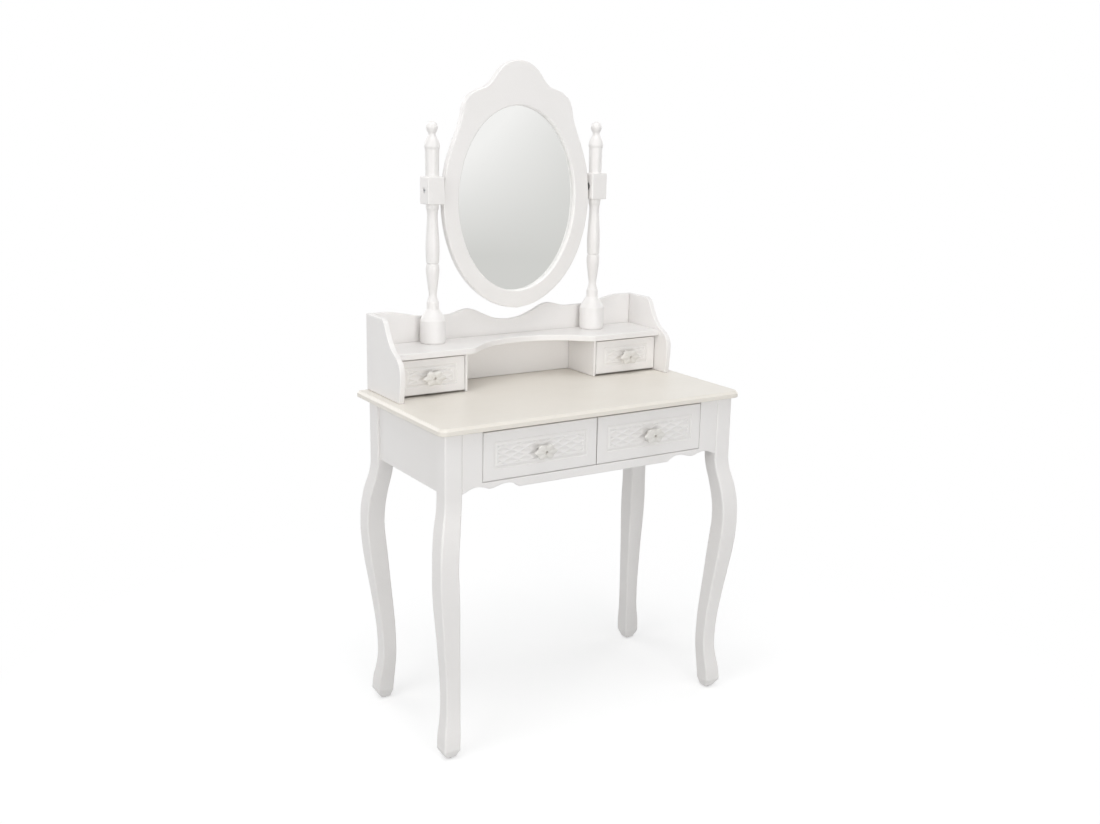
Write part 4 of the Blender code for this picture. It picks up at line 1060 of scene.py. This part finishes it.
def rounded_ring(half_x, half_z, radius, face, depth):
    """A rounded rectangle round the middle of a front's face, at a depth."""
    points = rounded_rectangle((-half_x, -half_z), (half_x, half_z), radius, 4)
    return [(face.x + x, face.y + depth, face.z + z) for x, z in points]


def lobe(angle):
    """The pull's reach at an angle, as a share of its reach at a lobe's tip."""
    return 1 - PULL_NOTCH_SHARE * (1 - math.cos(PULL_LOBES * angle)) / 2


def make_pull(name):
    """A cast pull: a head with domed lobes round a beaded dimple, on a waisted neck."""
    box = Box(name + "_pull")
    rings = []
    for share, radius, back, deeper in smooth_through(PULL_RINGS, PULL_READINGS):
        ring = []
        for step in range(PULL_STEPS):
            angle = 2 * math.pi * step / PULL_STEPS
            wide = lobe(angle) * min(1, max(0, share))
            x = (PULL_LENGTH / 2 * wide + max(0, radius)) * math.cos(angle)
            z = (PULL_HEIGHT / 2 * wide + max(0, radius)) * math.sin(angle)
            between = (1 - math.cos(PULL_LOBES * angle)) / 2
            y = box.low.y + min(box.size.y, max(0, back + deeper * between))
            ring.append((box.middle.x + x, y, box.middle.z + z))
        rings.append(ring)

    def hollow_at(place):
        """Painted shade with some antique patina: dark in the dimple, a little darker round it, between
        the lobes and behind the head.
        """
        back = place.y - box.low.y
        x = place.x - box.middle.x
        z = place.z - box.middle.z
        out = math.hypot(x, z)
        if out < DIMPLE_RADIUS and back < PULL_HEAD:
            return DIMPLE_SHADE
        if back > PULL_HEAD:
            return NECK_SHADE
        turn = math.atan2(z / PULL_HEIGHT, x / PULL_LENGTH)
        return LOBE_SHADE * (1 - math.cos(PULL_LOBES * turn)) + RIM_SHADE * (out < DIMPLE_RADIUS * 2)

    dress(name + "_pull", hollows(loft(rings, "pull"), hollow_at), angle=60, weighted=False)


def make_screw(name):
    """The machine screw of a pull, with a crossed slot in its pan head."""
    box = Box(name + "_screw")
    radius = box.size.x / 2
    head = box.high.y
    length = box.size.y
    under = SCREW_HEAD_HEIGHT
    soft = SCREW_HEAD_ROUND
    profile = [(0, 0)] + arc((radius - soft, soft), soft, -90, 0, 5) + [(radius, under)]
    threads = int((length - under) / SCREW_PITCH)
    for i in range(threads):
        low = under + i * (length - under - SCREW_THREAD_ROOM) / threads
        profile += [(SCREW_RADIUS * SCREW_ROOT_SHARE, low + SCREW_ROOT), (SCREW_RADIUS, low + SCREW_CREST)]
    profile += [(SCREW_RADIUS * SCREW_END_SHARE, length), (0, length)]
    mesh = turned(profile, 32, (box.middle.x, head, box.middle.z), STANDING)
    arms = []
    for wide, tall in ((CROSS_HALF_WIDTH, CROSS_REACH), (CROSS_REACH, CROSS_HALF_WIDTH)):
        low = (box.middle.x - wide, head - CROSS_DEPTH, box.middle.z - tall)
        high = (box.middle.x + wide, head + CROSS_ABOVE, box.middle.z + tall)
        arms.append(block(low, high, CROSS_ROUND))
    dress(name + "_screw", cut(mesh, *arms), angle=40)


def make_drawer(name, kind):
    """A drawer: its front, pull and screw, and the wrap that its bottom slots into."""
    make_front(name, kind)
    make_pull(name)
    make_screw(name)
    box = Box(name + "_wrap")
    wall = BOARDS[kind]
    fold = WRAP_FOLD
    left, right, front, back = box.low.x, box.high.x, box.low.y, box.high.y
    outline = [
        (left, front), (left + wall, front), (left + wall, back - wall), (right - wall, back - wall),
        (right - wall, front), (right, front), (right, back - fold), (right - fold, back),
        (left + fold, back), (left, back - fold),
    ]
    mesh = plate(box.size.z, [outline], (0, 0, box.middle.z), WRAP_ROUND, resolution=3)
    bottom = Box(name + "_bottom")
    gap = Vector((BORE_GAP, BORE_GAP, BORE_GAP))
    slot = block(bottom.low - gap, bottom.high + gap, SLOT_ROUND)
    dress(name + "_wrap", cut(mesh, slot))
    board(name + "_bottom", BOTTOM_ROUND)


def make_hutch():
    """Sides, wavy back, bowed shelf and the dividers of the open bay."""
    for side in SIDES:
        node = "hutch_side_" + side
        box = Box(node)
        reach = (-box.size.y, box.size.z)
        curve = curve_of(SIDE_SHARES, SIDE_READINGS, (box.high.y, box.low.z), reach)
        outline = curve + [(box.high.y, box.high.z), (box.high.y, box.low.z)]
        dress(node, plate(box.size.x, [outline], (box.middle.x, 0, 0), SOFT_ROUND, SIDEWAYS, 4))
        board("hutch_divider_" + side)
    box = Box("hutch_back")
    reach = (box.high.x, Box("hutch_side_left").size.z)
    crest = curve_of(CREST_SHARES, CREST_READINGS, (0, box.low.z), reach)
    outline = both_halves([(0, box.low.z), (box.high.x, box.low.z)] + crest)
    dress("hutch_back", standing("hutch_back", [outline], SOFT_ROUND, 4))
    box = Box("hutch_shelf")
    reach = (Box("hutch_divider_right").low.x - BOW_END_INSET, BOW_DEPTH)
    bow = curve_of(BOW_SHARES, BOW_READINGS, (0, box.low.y), reach)
    outline = both_halves([(0, box.high.y), (box.high.x, box.high.y), (box.high.x, box.low.y)] + bow)
    dress("hutch_shelf", plate(box.size.z, [outline], (0, 0, box.middle.z), SOFT_ROUND, resolution=4))


def make_posts():
    """Turned posts, each with the square block that carries the mirror."""
    pivot_z = Box("hutch_shelf").high.z + PIVOT_ABOVE_SHELF
    half = BLOCK_SIDE / 2
    for side, sign in SIDES.items():
        node = "mirror_post_" + side
        box = Box(node)
        base = box.size.x / 2
        profile = [
            (base * min(1, radius), box.low.z + box.size.z * height) for height, radius in post_profile()
        ]
        post = turned(profile + [(0, box.low.z)], 96, (box.middle.x, box.middle.y, 0))
        middle = Vector((box.middle.x, box.middle.y, pivot_z))
        reach = Vector((half, half, BLOCK_HEIGHT / 2))
        joined = combined(post, [block(middle - reach, middle + reach, BLOCK_ROUND)], "UNION")
        outward = Matrix.Rotation(sign * math.pi / 2, 4, "Y")
        sink = Box("pivot_bolt_" + side).size.z / 2 + PIVOT_GAP
        mouth = sink + SINK_CHAMFER
        bore = BOLT_RADIUS + PIVOT_GAP
        floor = half - PIVOT_SINK
        past = half + BORE_PAST
        profile = [
            (0, past), (mouth, past), (mouth, half + SINK_RIM), (sink, half - SINK_CHAMFER), (sink, floor),
            (bore, floor), (bore, -past), (0, -past),
        ]
        dress(node, cut(joined, turned(profile, 48, middle, outward)), angle=38)


def post_profile():
    """Height and radius of a post, from its tip down: soft curves between crisp beads."""
    crisp = [i for i, (height, radius) in enumerate(POST_SHARES) if height in CRISP_HEIGHTS]
    ends = [0] + crisp + [len(POST_SHARES) - 1]
    profile = [POST_SHARES[0]]
    for start, end in zip(ends, ends[1:]):
        stretch = POST_SHARES[start:end + 1]
        spans = end - start
        read = smooth_through(stretch, POST_CURVE_STEPS * spans + 1) if spans > 1 else stretch
        profile += read[1:]
    return profile


def make_mirror():
    """The frame, its glass and backing, and the clips that hold them from behind."""
    box = Box("mirror_frame")
    sight = (0, box.low.z + SIGHT_ABOVE_BOTTOM + SIGHT_HEIGHT / 2)
    crested = curve_of(MIRROR_SHARES, MIRROR_READINGS, (0, box.low.z), (box.size.x / 2, box.size.z))
    outlines = [both_halves(crested), oval(SIGHT_WIDTH, SIGHT_HEIGHT, sight)]
    mesh = standing("mirror_frame", outlines, FRAME_ROUND, 5)
    wide = SIGHT_WIDTH + 2 * REBATE_WIDTH
    high = SIGHT_HEIGHT + 2 * REBATE_WIDTH
    middle = (0, box.low.y + LIP_THICKNESS + REBATE_TOOL / 2, 0)
    rebate = plate(REBATE_TOOL, [oval(wide, high, sight)], middle, REBATE_ROUND, STANDING)
    dress("mirror_frame", cut(mesh, rebate))
    glass = Box("mirror_glass")
    shape = [oval(glass.size.x, glass.size.z, sight)]
    dress("mirror_glass", standing("mirror_glass", shape, GLASS_ROUND), angle=4, weighted=False)
    dress("mirror_backing", standing("mirror_backing", shape, GLASS_ROUND))
    make_clips(box.high.y + BORE_GAP, wide, high, sight)
    for side, sign in SIDES.items():
        make_pivot(side, sign)


def make_clips(under, wide, high, sight):
    """Turn clips round the backing, each with its screw."""
    half = (CLIP_LENGTH - CLIP_WIDTH) / 2
    facing_back = Matrix.Rotation(-math.pi / 2, 4, "X")
    outline = arc((half, 0), CLIP_WIDTH / 2, -90, 90, 10) + arc((-half, 0), CLIP_WIDTH / 2, 90, 270, 10)
    bulge = arc((0, 0), CLIP_HEAD_RADIUS, 75, 0, 6)
    dome = [(0, CLIP_HEAD_HEIGHT)] + [(radius, min(height, CLIP_HEAD_HEIGHT)) for radius, height in bulge]
    dome += [(CLIP_HEAD_RADIUS, -CLIP_HEAD_SINK), (0, -CLIP_HEAD_SINK)]
    clips = []
    for i in range(CLIP_COUNT):
        angle = math.pi * (2 * i + 1) / CLIP_COUNT
        x = (wide / 2 + CLIP_OUTSIDE) * math.cos(angle)
        z = sight[1] + (high / 2 + CLIP_OUTSIDE) * math.sin(angle)
        out = math.atan2(math.sin(angle) / high, math.cos(angle) / wide)
        strip = plate(CLIP_STEEL, [outline], edge=CLIP_ROUND, turn=STANDING)
        on_back = Matrix.Translation((x, under + CLIP_STEEL / 2, z))
        strip.transform(on_back @ Matrix.Rotation(-out, 4, "Y"))
        head = turned(dome, 28, (x, under + CLIP_STEEL, z), facing_back)
        clips.append(together(strip, head))
    dress(None, together(*clips), "backing_clips", body=body_of_node["mirror_frame"], slot="zinc_steel")


def make_pivot(side, sign):
    """A pivot bolt with a socket in its head, and the spacer on it."""
    bolt = Box("pivot_bolt_" + side)
    spacer = Box("pivot_spacer_" + side)
    outward = Matrix.Rotation(sign * math.pi / 2, 4, "Y")
    middle = Vector((0, bolt.middle.y, bolt.middle.z))
    near, far = sorted((abs(bolt.low.x), abs(bolt.high.x)))
    head = bolt.size.z / 2
    under = far - PIVOT_HEAD_HEIGHT
    soft = PIVOT_HEAD_ROUND
    profile = [(0, far)] + arc((head - soft, far - soft), soft, 90, 0, 5)
    profile += [(head, under), (BOLT_RADIUS, under), (BOLT_RADIUS, near + PIVOT_TIP)]
    profile += [(BOLT_RADIUS * PIVOT_TIP_SHARE, near), (0, near)]
    mesh = turned(profile, 48, middle, outward)
    above = far + SOCKET_ABOVE
    floor = far - SOCKET_DEPTH
    profile = [(0, above), (SOCKET_RADIUS, above), (SOCKET_RADIUS, floor), (0, floor)]
    dress("pivot_bolt_" + side, cut(mesh, turned(profile, 6, middle, outward)), angle=30)
    outer = spacer.size.z / 2
    low, high = sorted((abs(spacer.low.x), abs(spacer.high.x)))
    soft = SPACER_ROUND
    bore = BOLT_RADIUS + BORE_GAP
    ring = arc((outer - soft, high - soft), soft, 90, 0, 5)
    ring += arc((outer - soft, low + soft), soft, 0, -90, 5)
    ring += [(bore, low), (bore, high)]
    dress("pivot_spacer_" + side, turned(ring, 56, middle, outward, ring=True))


def make_camera():
    """The photograph's camera."""
    data = bpy.data.cameras.new("camera")
    data.sensor_width = SENSOR_WIDTH * 1000
    data.lens = data.sensor_width * CAMERA_FOCUS_PIXELS / PHOTO_WIDTH
    data.shift_x = (PHOTO_WIDTH / 2 - CAMERA_CENTRE_PIXEL[0]) / PHOTO_WIDTH
    data.shift_y = (CAMERA_CENTRE_PIXEL[1] - PHOTO_HEIGHT / 2) / PHOTO_WIDTH
    camera = placed("camera", data)
    ahead = Vector((
        math.sin(CAMERA_YAW) * math.cos(CAMERA_PITCH), math.cos(CAMERA_YAW) * math.cos(CAMERA_PITCH),
        -math.sin(CAMERA_PITCH),
    ))
    right = Vector((math.cos(CAMERA_YAW), -math.sin(CAMERA_YAW), 0))
    up = right.cross(ahead)
    rolled_right = right * math.cos(CAMERA_ROLL) + up * math.sin(CAMERA_ROLL)
    rolled_up = up * math.cos(CAMERA_ROLL) - right * math.sin(CAMERA_ROLL)
    turn = Matrix((rolled_right, rolled_up, -ahead)).transposed().to_4x4()
    camera.matrix_world = Matrix.Translation(CAMERA_PLACE) @ turn
    bpy.context.scene.camera = camera


def make_studio():
    """A white floor and world, soft lamps, and a pale card in front that the mirror shows."""
    bpy.context.scene.view_settings.view_transform = "Standard"
    make_world()
    bm = bmesh.new()
    bmesh.ops.create_grid(bm, x_segments=1, y_segments=1, size=FLOOR_SIZE)
    floor = placed("floor", mesh_from(bm, "floor"))
    floor.data.materials.append(floor_finish())
    for name, place, size, power in LAMPS:
        lamp(name, place, size, power)
    make_card()


def make_world():
    """Even light from all round, which a camera or a mirror sees as white."""
    world = bpy.data.worlds.new("studio")
    bpy.context.scene.world = world
    shader = Shader("studio", world)
    shader.nodes.remove(shader.nodes["Background"])
    fill = shader.add("Background", {}, {"Color": WORLD_COLOUR, "Strength": WORLD_STRENGTH})
    white = shader.add("Background", {}, {"Color": WHITE, "Strength": 1.0})
    shader.show(shader.add("MixShader", {}, {0: shader.seen(), 1: fill, 2: white}), "World Output")


def floor_finish():
    """A pale floor that a camera or a mirror sees as white, but for the object's shadow near it."""
    shader = Shader("floor_white")
    shader.finish(Base_Color=FLOOR_COLOUR, Roughness=0.9, Specular_IOR_Level=0.0)
    surface = Value(shader, shader.nodes["Principled BSDF"].outputs[0])
    place = shader.add("TexCoord", {}, {}, "Object")
    distance = shader.add("VectorMath", {"operation": "LENGTH"}, {0: place}, "Value")
    far = ((distance - FLOOR_SHADOW_REACH) / FLOOR_FADE).clamped()
    near = shader.add("AddShader", {}, {0: surface, 1: shader.glow(WHITE, FLOOR_LIFT)})
    faded = shader.add("MixShader", {}, {0: far, 1: near, 2: shader.glow(WHITE, 1.0)})
    shader.show(shader.add("MixShader", {}, {0: shader.seen(), 1: surface, 2: faded}))
    return shader.material


def lamp(name, place, size, power):
    """A round soft lamp, aimed at the middle of the table."""
    data = bpy.data.lights.new(name, "AREA")
    data.shape = "DISK"
    data.size = size
    data.energy = power
    light = placed(name, data)
    light.location = place
    aim = Vector(LAMP_AIM) - Vector(place)
    light.rotation_euler = aim.to_track_quat("-Z", "Y").to_euler()


def make_card():
    """A tall curved card round the front of the studio. Only reflections show it."""
    bm = bmesh.new()
    columns = []
    for x, y in arc((0, 0), CARD_RADIUS, CARD_START, CARD_START + CARD_TURN, CARD_PANELS):
        columns.append([bm.verts.new((x, y, CARD_LOW)), bm.verts.new((x, y, CARD_HIGH))])
    for first, second in zip(columns, columns[1:]):
        bm.faces.new((first[0], first[1], second[1], second[0]))
    card = placed("card", mesh_from(bm, "card"))
    shader = Shader("card_grey")
    place = shader.add("TexCoord", {}, {}, "Object")
    across = shader.add("SeparateXYZ", {}, {"Vector": place}, 0)
    height = shader.add("SeparateXYZ", {}, {"Vector": place}, 2)
    contrast = CARD_CONTRAST - across * CARD_CONTRAST_LOSS
    share = ((height * CARD_RISE - CARD_RISE_FROM) * contrast).clamped()
    tone = shader.mix(share, (0.705, 0.698, 0.678), (1.0, 0.985, 0.975))
    shader.show(shader.glow(tone, 1.0))
    card.data.materials.append(shader.material)
    for rays in ("camera", "diffuse", "shadow", "transmission"):
        setattr(card, "visible_" + rays, False)


make_camera()
make_studio()
make_desktop()
make_legs()
make_frame()
make_hutch()
for kind in BOARDS:
    for side in SIDES:
        make_drawer(kind + "_" + side, kind)
make_posts()
make_mirror()
